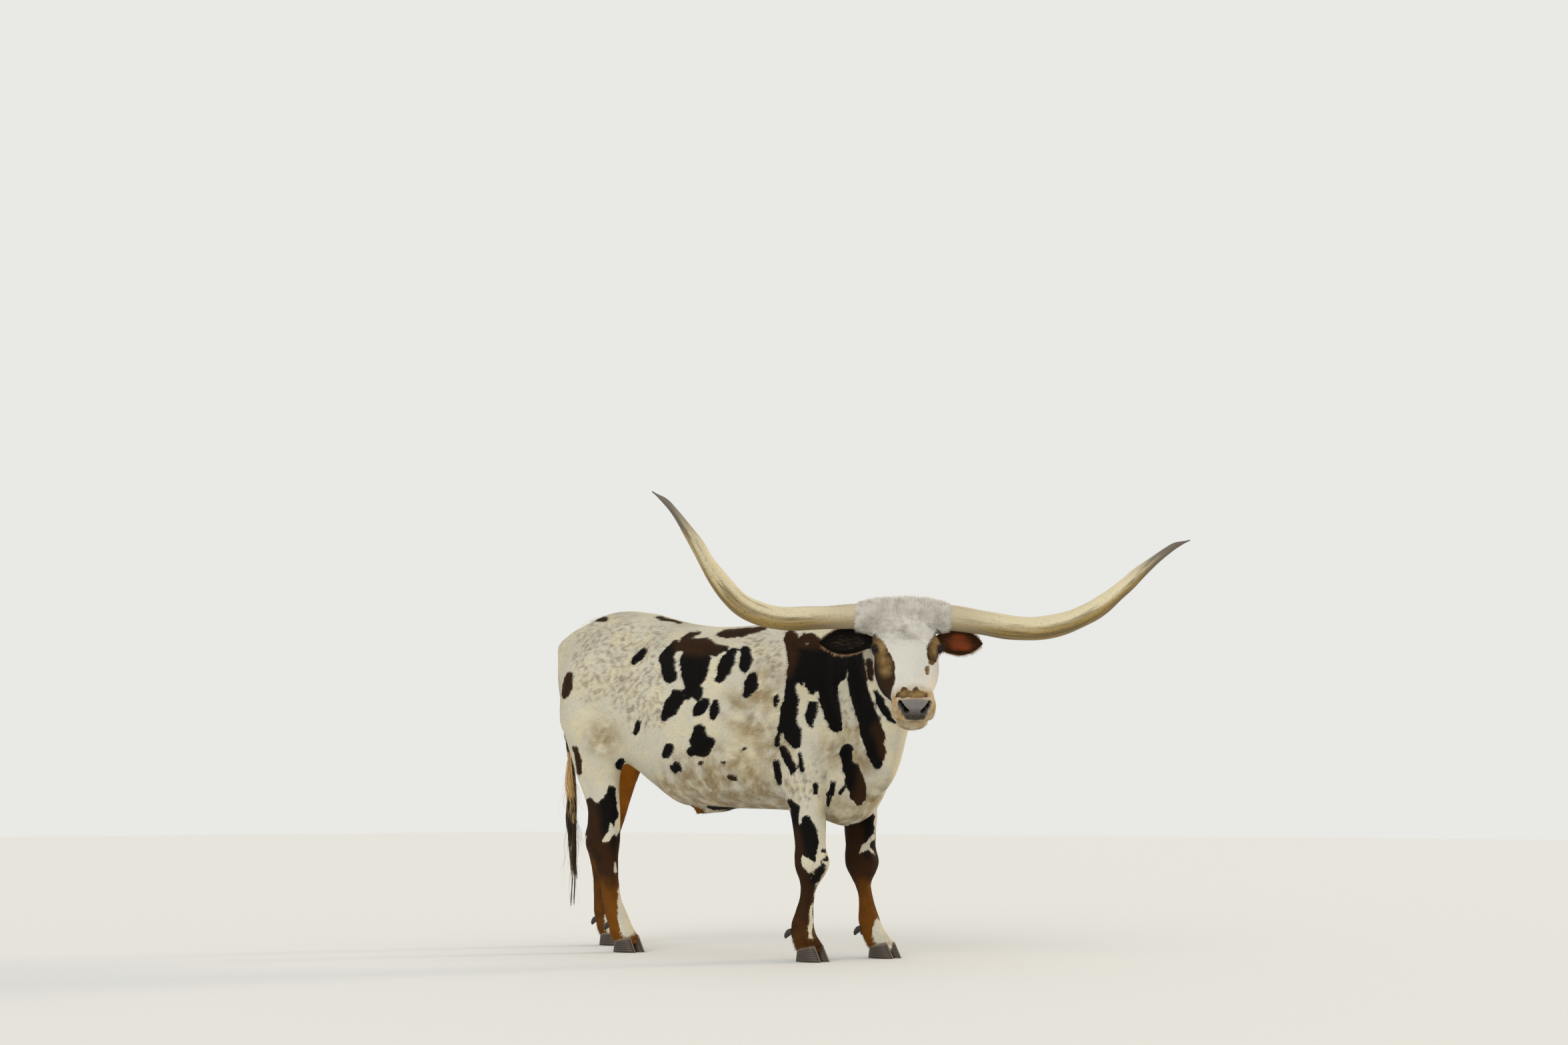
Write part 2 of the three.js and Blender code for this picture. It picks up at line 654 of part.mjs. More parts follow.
for (const [name, leg] of Object.entries(legs)) {
  const { table, side, cut, sway } = LEGS[name];
  const free = below(leg, level(cut - GAP)).subtract(trunk);
  const [, back, front, middle] = table[table.length - 1];
  const x = (back + front) / 2 + rowAt(sway, 0)[1];
  const claws = { inner: -1, outer: 1 };
  const clawSolids = Object.entries(claws).map(([place, hand]) => [
    place,
    makeClaw(x, side * (middle + hand * 27.5), side * hand),
  ]);
  const raised = clawSolids.map(([, claw]) => claw.translate([0, 0, GAP]));
  const coronet = union(raised.map((claw) => claw.hull()));
  const slab = solid(new THREE.BoxGeometry(400, 200, 100).translate(x, side * middle, -50));
  nodes[`leg_${name}`] = largest(
    moved(free.subtract(union([...raised, slab])), new THREE.Vector3(0, side * GAP, 0)).subtract(coronet),
  );
  for (const [place, claw] of clawSolids) nodes[`claw_${name}_${place}`] = claw;
  for (const [place, hand] of Object.entries(claws)) {
    const dew = makeDewclaw(back + rowAt(sway, 110)[1] - 40, side * (middle + hand * 24), 112);
    nodes[`dewclaw_${name}_${place}`] = largest(
      dew.subtract(nodes[`leg_${name}`]).translate([-GAP, 0, 0]).subtract(nodes[`leg_${name}`]),
    );
  }
}

for (const [name, hand, table] of [['left', 1, HORN_LEFT], ['right', -1, HORN_RIGHT]]) {
  const apart = leftward.clone().multiplyScalar(hand * GAP * 1.5);
  const horn = largest(moved(makeHorn(table, hand).subtract(nodes.head), apart));
  nodes[`horn_${name}`] = horn;
  const ear = moved(makeEar(hand).subtract(nodes.head), apart);
  nodes[`ear_${name}`] = largest(ear.subtract(union([horn, horn.translate([0, 0, -2 * GAP])])));
  nodes[`eye_${name}`] = placed(
    ball([EYE_PLACE.along, hand * EYE_PLACE.side, EYE_PLACE.depth], [EYE_RADIUS, EYE_RADIUS, EYE_RADIUS], 14, 10),
    headFrame,
  );
}
const dock = bentLoft(DOCK, 18, 10, roundSection, new THREE.Vector3(0, 1, 0));
nodes.tail = largest(above(dock, level(BRUSH.root + 5)).subtract(nodes.torso).translate([-GAP, 0, 0]));
nodes.tail_brush = largest(below(makeBrush(), level(BRUSH.root + 5 - GAP)));

// Finish of each kind of node
const FINISHES = {
  coat: { color: 0xcfc6b6, roughness: 0.85 },
  dark_coat: { color: 0x3a1f14, roughness: 0.85 },
  horn: { color: 0xb8a878, roughness: 0.5 },
  hoof: { color: 0x5b4c3d, roughness: 0.6 },
  eye: { color: 0x120c09, roughness: 0.08 },
};
const finishOf = (name) => {
  if (name.startsWith('horn')) return 'horn';
  if (name.includes('claw')) return 'hoof';
  if (name.startsWith('eye')) return 'eye';
  return name.startsWith('ear') || name.startsWith('tail') ? 'dark_coat' : 'coat';
};

const steer = new THREE.Group();
steer.name = 'longhorn_steer';
for (const [name, body] of Object.entries(nodes)) {
  const { vertProperties, triVerts } = body.getMesh();
  const geometry = new THREE.BufferGeometry();
  geometry.setAttribute('position', new THREE.BufferAttribute(new Float32Array(vertProperties), 3));
  geometry.setIndex(new THREE.BufferAttribute(new Uint32Array(triVerts), 1));
  geometry.computeVertexNormals();
  const mesh = new THREE.Mesh(geometry, new THREE.MeshStandardMaterial({ ...FINISHES[finishOf(name)], metalness: 0 }));
  mesh.name = name;
  steer.add(mesh);
}
steer.position.set(ORIGIN_SHIFT[0], ORIGIN_SHIFT[1], 0);

export default steer;
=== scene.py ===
"""A life-size longhorn steer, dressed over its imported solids.

Lengths are in metres once they reach Blender. The tables of the body are in millimetres in the stance frame,
as the solids are drawn: +X ahead, +Y to the animal's left, +Z up, floor at 0. `PLACE` moves them to the frame
that the solids are packed in.
"""

from __future__ import annotations

import logging
import math
from dataclasses import dataclass, field
from enum import Enum
from typing import Callable, Sequence

import bpy
import numpy as np
from mathutils import Matrix, Vector
from mathutils.bvhtree import BVHTree

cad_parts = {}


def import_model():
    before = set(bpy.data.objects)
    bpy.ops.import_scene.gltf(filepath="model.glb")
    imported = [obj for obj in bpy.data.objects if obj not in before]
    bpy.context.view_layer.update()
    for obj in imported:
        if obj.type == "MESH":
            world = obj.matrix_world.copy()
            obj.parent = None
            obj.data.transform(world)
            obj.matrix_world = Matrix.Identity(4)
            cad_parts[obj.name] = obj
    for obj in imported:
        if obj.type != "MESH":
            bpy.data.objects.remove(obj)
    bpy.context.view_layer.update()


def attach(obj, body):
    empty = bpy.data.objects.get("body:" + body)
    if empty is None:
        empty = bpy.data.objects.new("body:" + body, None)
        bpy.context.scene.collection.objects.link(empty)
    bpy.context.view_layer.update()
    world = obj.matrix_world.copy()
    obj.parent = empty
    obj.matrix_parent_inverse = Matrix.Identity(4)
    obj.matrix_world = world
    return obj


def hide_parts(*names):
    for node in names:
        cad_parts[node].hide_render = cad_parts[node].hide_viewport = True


Array = np.ndarray
log = logging.getLogger("longhorn")

PLACE = np.array([-543.9, 324.6, 0.0])
MM = 0.001
HEAD_TURN = math.radians(-49.7)
HEAD_PITCH = math.radians(40.0)
POLL = np.array([1122.0, -298.0, 1396.0])
HEAD_MIDDLE = np.array([300.0, 0.0, -110.0])
THROAT = np.array([0.763, 0.0, 0.647])
WHORL = np.array([183.0, 8.0, 0.0])
LIP_LINE = -139.0
SEED = 7


def unit(v: Array) -> Array:
    """Return vectors at length one, along their last axis."""
    return v / np.maximum(np.linalg.norm(v, axis=-1, keepdims=True), 1e-12)


def ease(low: float, high: float, x: Array) -> Array:
    """Return 0 below low, 1 above high, and a cubic ease between."""
    t = np.clip((x - low) / (high - low), 0.0, 1.0)
    return t * t * (3.0 - 2.0 * t)


def bell(far: Array, width: float | Array) -> Array:
    """Return a Gaussian: 1 where far is 0, and 1/e at a width from there."""
    return np.exp(-((far / width) ** 2))


def row_at(table: Array, places: Array) -> Array:
    """Read a table between its rows by a monotone cubic in its first column.

    Args:
        table: Rows of numbers whose first column rises or falls all the way.
        places: Where to read it.

    Returns:
        One row, without the first column, for each place.
    """
    t = np.asarray(table, float)
    if t[-1, 0] < t[0, 0]:
        t = t[::-1]
    x, y = t[:, 0], t[:, 1:]
    secant = np.diff(y, axis=0) / np.diff(x)[:, None]
    slope = np.zeros_like(y)
    product = secant[:-1] * secant[1:]
    total = secant[:-1] + secant[1:]
    mean = 2.0 * product / np.where(np.abs(total) < 1e-12, 1.0, total)
    slope[1:-1] = np.where(product > 0.0, mean, 0.0)
    s = np.clip(places, x[0], x[-1])
    k = np.clip(np.searchsorted(x, s, side="right") - 1, 0, len(x) - 2)
    h = (x[k + 1] - x[k])[:, None]
    u = (s - x[k])[:, None] / h
    share = 3.0 * u**2 - 2.0 * u**3
    bend = (u**3 - 2.0 * u**2 + u) * slope[k] + (u**3 - u**2) * slope[k + 1]
    return (1.0 - share) * y[k] + share * y[k + 1] + h * bend


def superellipse(shape: Array, sides: int) -> Array:
    """Return closed sections made of four superellipse quarters.

    Args:
        shape: One row for each section: top, bottom, half width, height of the widest line, and the
            exponents above and below it.
        sides: Points round each section.

    Returns:
        An array of sections, points and two coordinates, sideways and up.
    """
    top, bottom, half, wide, above, below = (c[:, None] for c in shape.T)
    angle = np.linspace(0.0, 2.0 * math.pi, sides, endpoint=False)[None, :]
    c, s = np.cos(angle), np.sin(angle)
    power = 2.0 / np.where(s >= 0.0, above, below)
    reach = np.where(s >= 0.0, top - wide, wide - bottom)
    across = np.sign(c) * np.abs(c) ** power * half
    return np.stack([across, wide + np.sign(s) * np.abs(s) ** power * reach], axis=-1)


def curve_points(points: Array, t: Array) -> Array:
    """Return points on a centripetal Catmull-Rom line, with t from 0 to 1 by equal shares of its spans.

    Args:
        points: The points the curve goes through.
        t: Places along the line, 0 to 1.

    Returns:
        One point for each place.
    """
    p = np.asarray(points, float)
    ends = np.vstack([2.0 * p[0] - p[1], p, 2.0 * p[-1] - p[-2]])
    place = np.clip(t, 0.0, 1.0) * (len(p) - 1)
    k = np.minimum(place.astype(int), len(p) - 2)
    u = (place - k)[:, None]
    p0, p1, p2, p3 = (ends[k + i] for i in range(4))
    d0, d1, d2 = (np.linalg.norm(b - a, axis=1)[:, None] ** 0.5 for a, b in ((p0, p1), (p1, p2), (p2, p3)))
    m1 = ((p1 - p0) / d0 - (p2 - p0) / (d0 + d1) + (p2 - p1) / d1) * d1
    m2 = ((p2 - p1) / d1 - (p3 - p1) / (d1 + d2) + (p3 - p2) / d2) * d1
    a = 2.0 * p1 - 2.0 * p2 + m1 + m2
    b = -3.0 * p1 + 3.0 * p2 - 2.0 * m1 - m2
    return ((a * u + b) * u + m1) * u + p1


def frames_along(points: Array, t: Array, level: Array) -> tuple[Array, Array, Array]:
    """Return the middle, side and up directions of a smooth line at each t.

    Args:
        points: Points, one in a row.
        t: Where along it, 0 at the first point and 1 at the last.
        level: A direction that the side stays square to.

    Returns:
        The middle, the unit side and the unit up, for each place.
    """
    middle = curve_points(points, t)
    step = 1e-4
    ahead = unit(curve_points(points, t + step) - curve_points(points, t - step))
    side = unit(np.cross(np.broadcast_to(level, ahead.shape), ahead))
    return middle, side, np.cross(ahead, side)


def swollen(points: Array, swells: Array) -> Array:
    """Push points by every raised form near them: Gaussian bumps, each with its twin on the other side.

    Args:
        points: Points, one in a row.
        swells: Rows with a middle, three reaches and a push.

    Returns:
        The moved points.
    """
    moved = points.copy()
    for x, y, z, rx, ry, rz, px, py, pz in np.asarray(swells, float):
        for side in (1.0,) if y == 0.0 else (1.0, -1.0):
            far = ((points - [x, side * y, z]) / [rx, ry, rz]) ** 2
            moved += np.exp(-far.sum(axis=-1))[..., None] * [px, side * py, pz]
    return moved


def head_axes() -> Array:
    """Return the head's three axes as rows: down the face, to the left, and off the forehead.

    Returns:
        Three unit vectors in rows.
    """
    ct, st, cp, sp = math.cos(HEAD_TURN), math.sin(HEAD_TURN), math.cos(HEAD_PITCH), math.sin(HEAD_PITCH)
    heading = np.array([ct, st, 0.0])
    up = np.array([0.0, 0.0, 1.0])
    return np.array([cp * heading - sp * up, [-st, ct, 0.0], sp * heading + cp * up])


HEAD = head_axes()


def from_head(points: Array) -> Array:
    """Take points from the head's frame to the stance frame."""
    return np.asarray(points, float) @ HEAD + POLL


def to_head(points: Array) -> Array:
    """Take points from the stance frame to the head's frame."""
    return (np.asarray(points, float) - POLL) @ HEAD.T


def packed(points: Array) -> Array:
    """Take points from the stance frame, in millimetres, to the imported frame, in metres."""
    return (np.asarray(points, float) + PLACE) * MM


def stance(points: Array) -> Array:
    """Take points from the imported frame, in metres, to the stance frame, in millimetres."""
    return np.asarray(points, float) / MM - PLACE


def ring_quads(bands: int, sides: int) -> Array:
    """Return the quads between neighbouring rings of points, counted ring after ring.

    Args:
        bands: How many bands of quads there are.
        sides: Points in each ring.

    Returns:
        Four corners for each quad.
    """
    i, j = np.meshgrid(np.arange(bands), np.arange(sides), indexing="ij")
    here, across = i * sides + j, i * sides + (j + 1) % sides
    return np.stack([here, across, across + sides, here + sides], -1).reshape(-1, 4)


@dataclass
class Shell:
    """Points and faces of a surface."""

    points: Array
    faces: list[Array]

    @staticmethod
    def tube(rings: Array) -> "Shell":
        """Return a closed tube over rings of points, with a fan over each end.

        Args:
            rings: How many rings of points.

        Returns:
            The closed surface.
        """
        count, sides = rings.shape[:2]
        quads = ring_quads(count - 1, sides)
        k = np.arange(sides)
        first, last = count * sides, count * sides + 1
        start = np.stack([np.full(sides, first), (k + 1) % sides, k], -1)
        base = (count - 1) * sides
        end = np.stack([np.full(sides, last), base + k, base + (k + 1) % sides], -1)
        points = np.vstack([rings.reshape(-1, 3), rings[0].mean(0), rings[-1].mean(0)])
        shell = Shell(points, [quads, np.vstack([start, end])])
        return shell if shell.volume() > 0.0 else Shell(points, [f[:, ::-1] for f in shell.faces])

    @staticmethod
    def joined(shells: Sequence["Shell"]) -> "Shell":
        """Return several shells as one, without welding them.

        Args:
            shells: The surfaces.

        Returns:
            One surface that holds them all.
        """
        faces, start = [], 0
        for shell in shells:
            faces += [f + start for f in shell.faces]
            start += len(shell.points)
        return Shell(np.vstack([s.points for s in shells]), faces)

    def triangles(self) -> Array:
        """Return the faces cut into triangles."""
        parts = [f if f.shape[1] == 3 else np.vstack([f[:, [0, 1, 2]], f[:, [0, 2, 3]]]) for f in self.faces]
        return np.vstack(parts)

    def volume(self) -> float:
        """Return the signed volume inside."""
        a, b, c = self.points[self.triangles().T]
        return float(np.einsum("ij,ij->i", a, np.cross(b, c)).sum() / 6.0)

    def mesh(self, name: str) -> bpy.types.Mesh:
        """Return the shell as a smooth-shaded Blender mesh.

        Args:
            name: The name it gets.

        Returns:
            The mesh.
        """
        mesh = bpy.data.meshes.new(name)
        loops = np.concatenate([f.ravel() for f in self.faces]).astype(np.int32)
        sizes = np.concatenate([np.full(len(f), f.shape[1]) for f in self.faces]).astype(np.int32)
        mesh.vertices.add(len(self.points))
        mesh.vertices.foreach_set("co", self.points.astype(np.float32).ravel())
        mesh.loops.add(len(loops))
        mesh.loops.foreach_set("vertex_index", loops)
        mesh.polygons.add(len(sizes))
        mesh.polygons.foreach_set("loop_start", np.concatenate([[0], np.cumsum(sizes)[:-1]]).astype(np.int32))
        mesh.polygons.foreach_set("use_smooth", np.ones(len(sizes), bool))
        mesh.update(calc_edges=True)
        mesh.validate()
        return mesh

    def piece(self, name: str, material: bpy.types.Material, slot: str) -> bpy.types.Object:
        """Return the shell as an object that rides on the body.

        Args:
            name: The name it gets.
            material: Its material.
            slot: Not used.

        Returns:
            The object, linked to the scene.
        """
        mesh = self.mesh(name)
        mesh.materials.append(material)
        piece = bpy.data.objects.new(name, mesh)
        bpy.context.collection.objects.link(piece)
        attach(piece, "root")
        return piece


def read_points(mesh: bpy.types.Mesh) -> Array:
    """Return a mesh's vertex places.

    Args:
        mesh: The mesh.

    Returns:
        The points in metres.
    """
    out = np.empty(len(mesh.vertices) * 3, np.float32)
    mesh.vertices.foreach_get("co", out)
    return out.reshape(-1, 3).astype(float)


def read_quads(mesh: bpy.types.Mesh) -> Array:
    """Return the faces of a mesh whose faces all have four corners.

    Args:
        mesh: The mesh.

    Returns:
        Four corners for each face.
    """
    out = np.empty(len(mesh.loops), np.int32)
    mesh.loops.foreach_get("vertex_index", out)
    return out.reshape(-1, 4)


def remeshed(shell: Shell, voxel: float) -> Shell:
    """Return overlapping closed shells as one closed surface of even quads.

    Args:
        shell: The surface.
        voxel: Edge of a voxel, in metres.

    Returns:
        The new surface.
    """
    source = bpy.data.objects.new("remesh", shell.mesh("remesh"))
    bpy.context.collection.objects.link(source)
    modifier = source.modifiers.new("voxels", "REMESH")
    modifier.mode = "VOXEL"
    modifier.voxel_size = voxel
    modifier.adaptivity = 0.0
    result = source.evaluated_get(bpy.context.evaluated_depsgraph_get()).to_mesh()
    out = Shell(read_points(result), [read_quads(result)])
    old = source.data
    bpy.data.objects.remove(source)
    bpy.data.meshes.remove(old)
    return out


class Relax:
    """Smoothing of a quad surface by the mean of each point's neighbours."""

    def __init__(self, faces: Array, count: int) -> None:
        """Find the edges of the faces.

        Args:
            faces: Corners of each face.
            count: How many points there are.
        """
        pairs = np.vstack([faces[:, [0, 1]], faces[:, [1, 2]], faces[:, [2, 3]], faces[:, [3, 0]]])
        pairs = np.unique(np.sort(pairs, axis=1), axis=0)
        self.a, self.b, self.count = pairs[:, 0], pairs[:, 1], count
        self.degree = np.bincount(pairs.ravel(), minlength=count).astype(float)[:, None]

    def mean(self, values: Array) -> Array:
        """Return the mean of the neighbours of each point.

        Args:
            values: One value or row for each point.

        Returns:
            The mean of each point's neighbours.
        """
        columns = []
        for c in values.T:
            total = np.bincount(self.a, c[self.b], self.count) + np.bincount(self.b, c[self.a], self.count)
            columns.append(total)
        return np.stack(columns, 1) / np.maximum(self.degree, 1.0)

    def taubin(self, points: Array, rounds: int, weight: Array | float = 1.0) -> Array:
        """Smooth without shrinking: each round pulls in by half and pushes out by a little more.

        Args:
            points: Points, one in a row.
            rounds: How often it is done.
            weight: How strongly, for each point.

        Returns:
            The smoothed points.
        """
        for _ in range(rounds):
            for share in (0.5, -0.53):
                points = points + weight * share * (self.mean(points) - points)
        return points

    def laplace(self, points: Array, rounds: int, weight: Array | float = 1.0) -> Array:
        """Smooth by pulling each point to its neighbours' mean.

        Args:
            points: Points, one in a row.
            rounds: How often it is done.
            weight: How strongly, for each point.

        Returns:
            The smoothed points.
        """
        for _ in range(rounds):
            points = points + weight * 0.5 * (self.mean(points) - points)
        return points


def normals_of(points: Array, faces: Array) -> Array:
    """Return the outward normal at each point of a quad surface, from its faces' diagonals.

    Args:
        points: The surface's points.
        faces: Four corners for each face.

    Returns:
        One unit vector for each point.
    """
    p = points[faces]
    face = np.cross(p[:, 2] - p[:, 0], p[:, 3] - p[:, 1])
    out = np.zeros_like(points)
    for corner in range(4):
        for axis in range(3):
            out[:, axis] += np.bincount(faces[:, corner], face[:, axis], len(points))
    return unit(out)


def linear(hex_code: str) -> tuple[float, float, float, float]:
    """Turn an sRGB hex value to linear colour.

    Args:
        hex_code: A colour such as #AABBCC, in sRGB.

    Returns:
        Red, green and blue in linear light, and 1.
    """
    parts = [int(hex_code.lstrip("#")[i : i + 2], 16) / 255.0 for i in (0, 2, 4)]
    r, g, b = (c / 12.92 if c <= 0.04045 else ((c + 0.055) / 1.055) ** 2.4 for c in parts)
    return (r, g, b, 1.0)


class Nodes:
    """A material's node tree."""

    CHOICES = {
        "Math": "operation", "Mix": "data_type",
        "MapRange": "interpolation_type", "Attribute": "attribute_name",
    }

    def __init__(self, name: str) -> None:
        """Start a material with an empty tree and its output.

        Args:
            name: The name it gets.
        """
        self.material = bpy.data.materials.new(name)
        self.material.use_nodes = True
        self.tree = self.material.node_tree
        self.tree.nodes.clear()
        self.out = self.tree.nodes.new("ShaderNodeOutputMaterial")

    def add(self, kind: str, *inputs: object, **named: object) -> bpy.types.Node:
        """Add a node with its settings, and fill its inputs.

        Args:
            kind: The node's type without its ShaderNode prefix, and after a space its operation, data type,
                interpolation or attribute.
            *inputs: Its inputs in order; each a value, a socket or a node.
            **named: Settings in small letters, and inputs by name with _ for a space.

        Returns:
            The new node.
        """
        kind, _, choice = kind.partition(" ")
        node = self.tree.nodes.new("ShaderNode" + kind)
        if choice:
            setattr(node, self.CHOICES[kind], choice)
        for key in [k for k in named if k.islower()]:
            setattr(node, key, named.pop(key))
        sockets = [socket for socket in node.inputs if socket.enabled]
        links = [*zip(sockets, inputs), *((node.inputs[k.replace("_", " ")], v) for k, v in named.items())]
        for socket, value in links:
            if isinstance(value, bpy.types.Node):
                value = next(s for s in value.outputs if s.enabled)
            if isinstance(value, bpy.types.NodeSocket):
                self.tree.links.new(value, socket)
            else:
                socket.default_value = value
        return node

    def finish(self, shader: bpy.types.Node) -> bpy.types.Material:
        """Link the shader to the output and return the material."""
        self.tree.links.new(shader.outputs[0], self.out.inputs["Surface"])
        return self.material


def inks(finish: object) -> dict[str, tuple[float, float, float, float]]:
    """Return a finish's colours by name, as linear values."""
    return {name: linear(value) for name, value in vars(finish).items() if str(value).startswith("#")}


@dataclass(frozen=True)
class Viewpoint:
    """The photograph's viewpoint: where it stands, and how a pixel of the picture becomes a ray."""

    place: tuple[float, float, float] = (5.859 + PLACE[0] * MM, -7.355 + PLACE[1] * MM, 0.60)
    azimuth: float = math.radians(37.0)
    rise: float = math.radians(7.55)
    lens_mm: float = 50.0
    sensor_mm: float = 36.0
    width: int = 2352
    height: int = 1568

    @property
    def focal(self) -> float:
        """Focal length in pixels."""
        return self.lens_mm / self.sensor_mm * self.width

    def axes(self) -> Array:
        """Return the right, up and ahead directions as rows.

        Returns:
            Unit vectors in rows.
        """
        a, p = self.azimuth, self.rise
        away = np.array([math.sin(a), -math.cos(a), 0.0])
        up = np.array([0.0, 0.0, 1.0])
        right = np.array([math.cos(a), math.sin(a), 0.0])
        return np.array([right, math.sin(p) * away + math.cos(p) * up, math.sin(p) * up - math.cos(p) * away])

    def rays(self, pixels: Array) -> Array:
        """Return the direction of each pixel, one unit deep.

        Args:
            pixels: Places in the picture, x to the right and y down.

        Returns:
            One direction for each pixel.
        """
        right, up, ahead = self.axes()
        x = (pixels[:, :1] - self.width / 2) / self.focal
        y = (pixels[:, 1:2] - self.height / 2) / self.focal
        return ahead + x * right - y * up

    def build(self) -> bpy.types.Object:
        """Make the camera and return it.

        Returns:
            The camera.
        """
        data = bpy.data.cameras.new("view")
        data.lens, data.sensor_width, data.sensor_fit = self.lens_mm, self.sensor_mm, "HORIZONTAL"
        data.clip_end = 100.0
        camera = bpy.data.objects.new("view", data)
        right, up, ahead = self.axes()
        turned = np.eye(4)
        turned[:3, 0], turned[:3, 1], turned[:3, 2], turned[:3, 3] = right, up, -ahead, self.place
        camera.matrix_world = Matrix(turned.tolist())
        bpy.context.collection.objects.link(camera)
        bpy.context.scene.camera = camera
        return camera


TRUNK = [
    (-884, 1310, 1180, 40, 1255, 2, 2), (-872, 1368, 1085, 100, 1245, 2, 2),
    (-845, 1410, 1000, 150, 1225, 2, 2), (-790, 1444, 930, 196, 1185, 2, 2),
    (-700, 1474, 870, 230, 1150, 1.9, 2), (-580, 1491, 835, 254, 1135, 1.8, 2.1),
    (-420, 1475, 762, 266, 1110, 1.8, 2.2), (-300, 1445, 686, 278, 1070, 1.8, 2.2),
    (-160, 1412, 618, 304, 1030, 1.85, 2.2), (0, 1392, 612, 326, 1005, 1.9, 2.2),
    (150, 1389, 608, 331, 990, 1.9, 2.2), (300, 1394, 604, 318, 985, 1.8, 2.1),
    (430, 1404, 594, 288, 980, 1.7, 2), (540, 1401, 562, 258, 965, 1.6, 2),
    (640, 1370, 537, 230, 940, 1.7, 2), (720, 1300, 564, 196, 925, 1.8, 2),
    (782, 1215, 634, 150, 920, 2, 2), (826, 1120, 716, 100, 920, 2, 2), (848, 1020, 810, 45, 920, 2, 2),
]
SHEATH = [(60, 0, 632, 26), (-20, 0, 624, 32), (-90, 0, 620, 33), (-140, 0, 606, 27), (-152, 0, 584, 9)]
NECK = [
    (430, 0, 1010, 375, 400, 190, 1.7, 1.8), (600, -2, 1040, 350, 440, 186, 1.7, 1.7),
    (740, -28, 1090, 304, 425, 164, 1.7, 1.6), (850, -82, 1150, 250, 358, 142, 1.8, 1.6),
    (935, -140, 1206, 200, 280, 126, 1.9, 1.7), (1010, -194, 1252, 154, 210, 116, 2, 2),
    (1076, -246, 1284, 112, 160, 104, 2, 2),
]
SKULL = [
    (-50, -50, -110, 44, -80, 2, 2), (-38, -22, -142, 80, -84, 2, 2), (-8, 2, -178, 106, -86, 2.3, 2),
    (45, 4, -214, 118, -80, 2.6, 2), (110, 4, -244, 120, -72, 2.6, 1.9),
    (175, 1, -258, 120, -64, 2.4, 2), (240, -5, -254, 118, -76, 2.2, 2.3),
    (300, -12, -238, 110, -86, 2.2, 2.5), (360, -18, -208, 97, -90, 2.1, 2.5),
    (415, -22, -170, 85, -90, 2.2, 2.5), (465, -24, -156, 78, -92, 2.3, 2.8),
    (508, -28, -150, 80, -98, 2.4, 3), (536, -38, -148, 81, -100, 2.4, 3),
    (554, -52, -146, 74, -102, 2.4, 2.8), (566, -70, -138, 52, -104, 2.2, 2.4),
]
JAW = [
    (300, -130, -214, 54, -160, 2, 2), (370, -126, -206, 54, -160, 2, 2),
    (440, -126, -194, 54, -156, 2.2, 2.2), (495, -128, -192, 58, -158, 2.4, 2.2),
    (525, -130, -194, 59, -160, 2.4, 2.2), (545, -134, -184, 48, -158, 2.4, 2.2),
    (554, -140, -170, 28, -156, 2, 2),
]
POLL_ROLL = [(-188, 50), (-165, 61), (-110, 68), (0, 74), (110, 68), (165, 61), (188, 50)]
HORN_SEAT = np.array([32.0, 0.0, -32.0])
FORELEG = [
    (1100, 450, 650, 140, 66, 2), (980, 430, 690, 168, 84, 2), (860, 424, 712, 180, 90, 2),
    (770, 436, 700, 186, 86, 2), (700, 452, 672, 186, 76, 2), (640, 474, 660, 184, 66, 2),
    (577, 497, 660, 182, 58, 2), (504, 510, 653, 178, 53, 2.1), (456, 518, 650, 177, 54, 2.2),
    (420, 520, 657, 176, 58, 2.3), (389, 520, 661, 176, 60, 2.4), (360, 524, 652, 176, 54, 2.3),
    (329, 536, 632, 176, 44, 2.2), (298, 542, 608, 176, 36, 2.1), (262, 540, 597, 177, 32, 2.1),
    (215, 525, 590, 178, 34, 2.2), (177, 512, 589, 179, 40, 2.3), (147, 502, 590, 180, 45, 2.3),
    (117, 502, 598, 180, 44, 2.3), (85, 512, 616, 180, 48, 2.4), (40, 532, 648, 180, 54, 2.4),
]
HINDLEG = [
    (1210, -760, -500, 140, 84, 2), (1120, -796, -450, 160, 98, 2), (1000, -788, -408, 172, 102, 2),
    (930, -752, -398, 178, 97, 2), (860, -722, -406, 180, 88, 2), (777, -693, -446, 178, 72, 2),
    (701, -661, -456, 174, 60, 2), (644, -638, -457, 170, 53, 2), (594, -627, -456, 167, 49, 2.1),
    (544, -630, -457, 165, 47, 2.2), (493, -639, -461, 164, 48, 2.3), (455, -632, -466, 163, 47, 2.3),
    (400, -599, -469, 163, 40, 2.2), (339, -569, -467, 163, 34, 2.2), (276, -549, -461, 163, 31, 2.2),
    (225, -538, -452, 163, 34, 2.2), (186, -524, -434, 163, 40, 2.3), (150, -514, -414, 163, 45, 2.3),
    (118, -500, -396, 163, 44, 2.3), (85, -486, -376, 163, 48, 2.4), (40, -458, -342, 163, 53, 2.4),
]
STILL = [(0, 0), (1300, 0)]
FORE_LEFT_SWAY = [(0, 104), (105, 90), (165, 73), (240, 46), (277, 30), (330, 8), (400, 0), (1300, 0)]
HIND_LEFT_SWAY = [
    (0, -372), (109, -366), (225, -345), (370, -322), (480, -296), (555, -267), (683, -222), (787, -190),
    (860, -150), (1000, -70), (1150, -8), (1300, 0),
]
DOCK = [
    (-780, 0, 1400, 34), (-846, 0, 1390, 33), (-894, 0, 1335, 30), (-918, 0, 1240, 26),
    (-929, 0, 1100, 23), (-926, 0, 1010, 21), (-906, 0, 900, 18), (-888, 0, 790, 16),
]
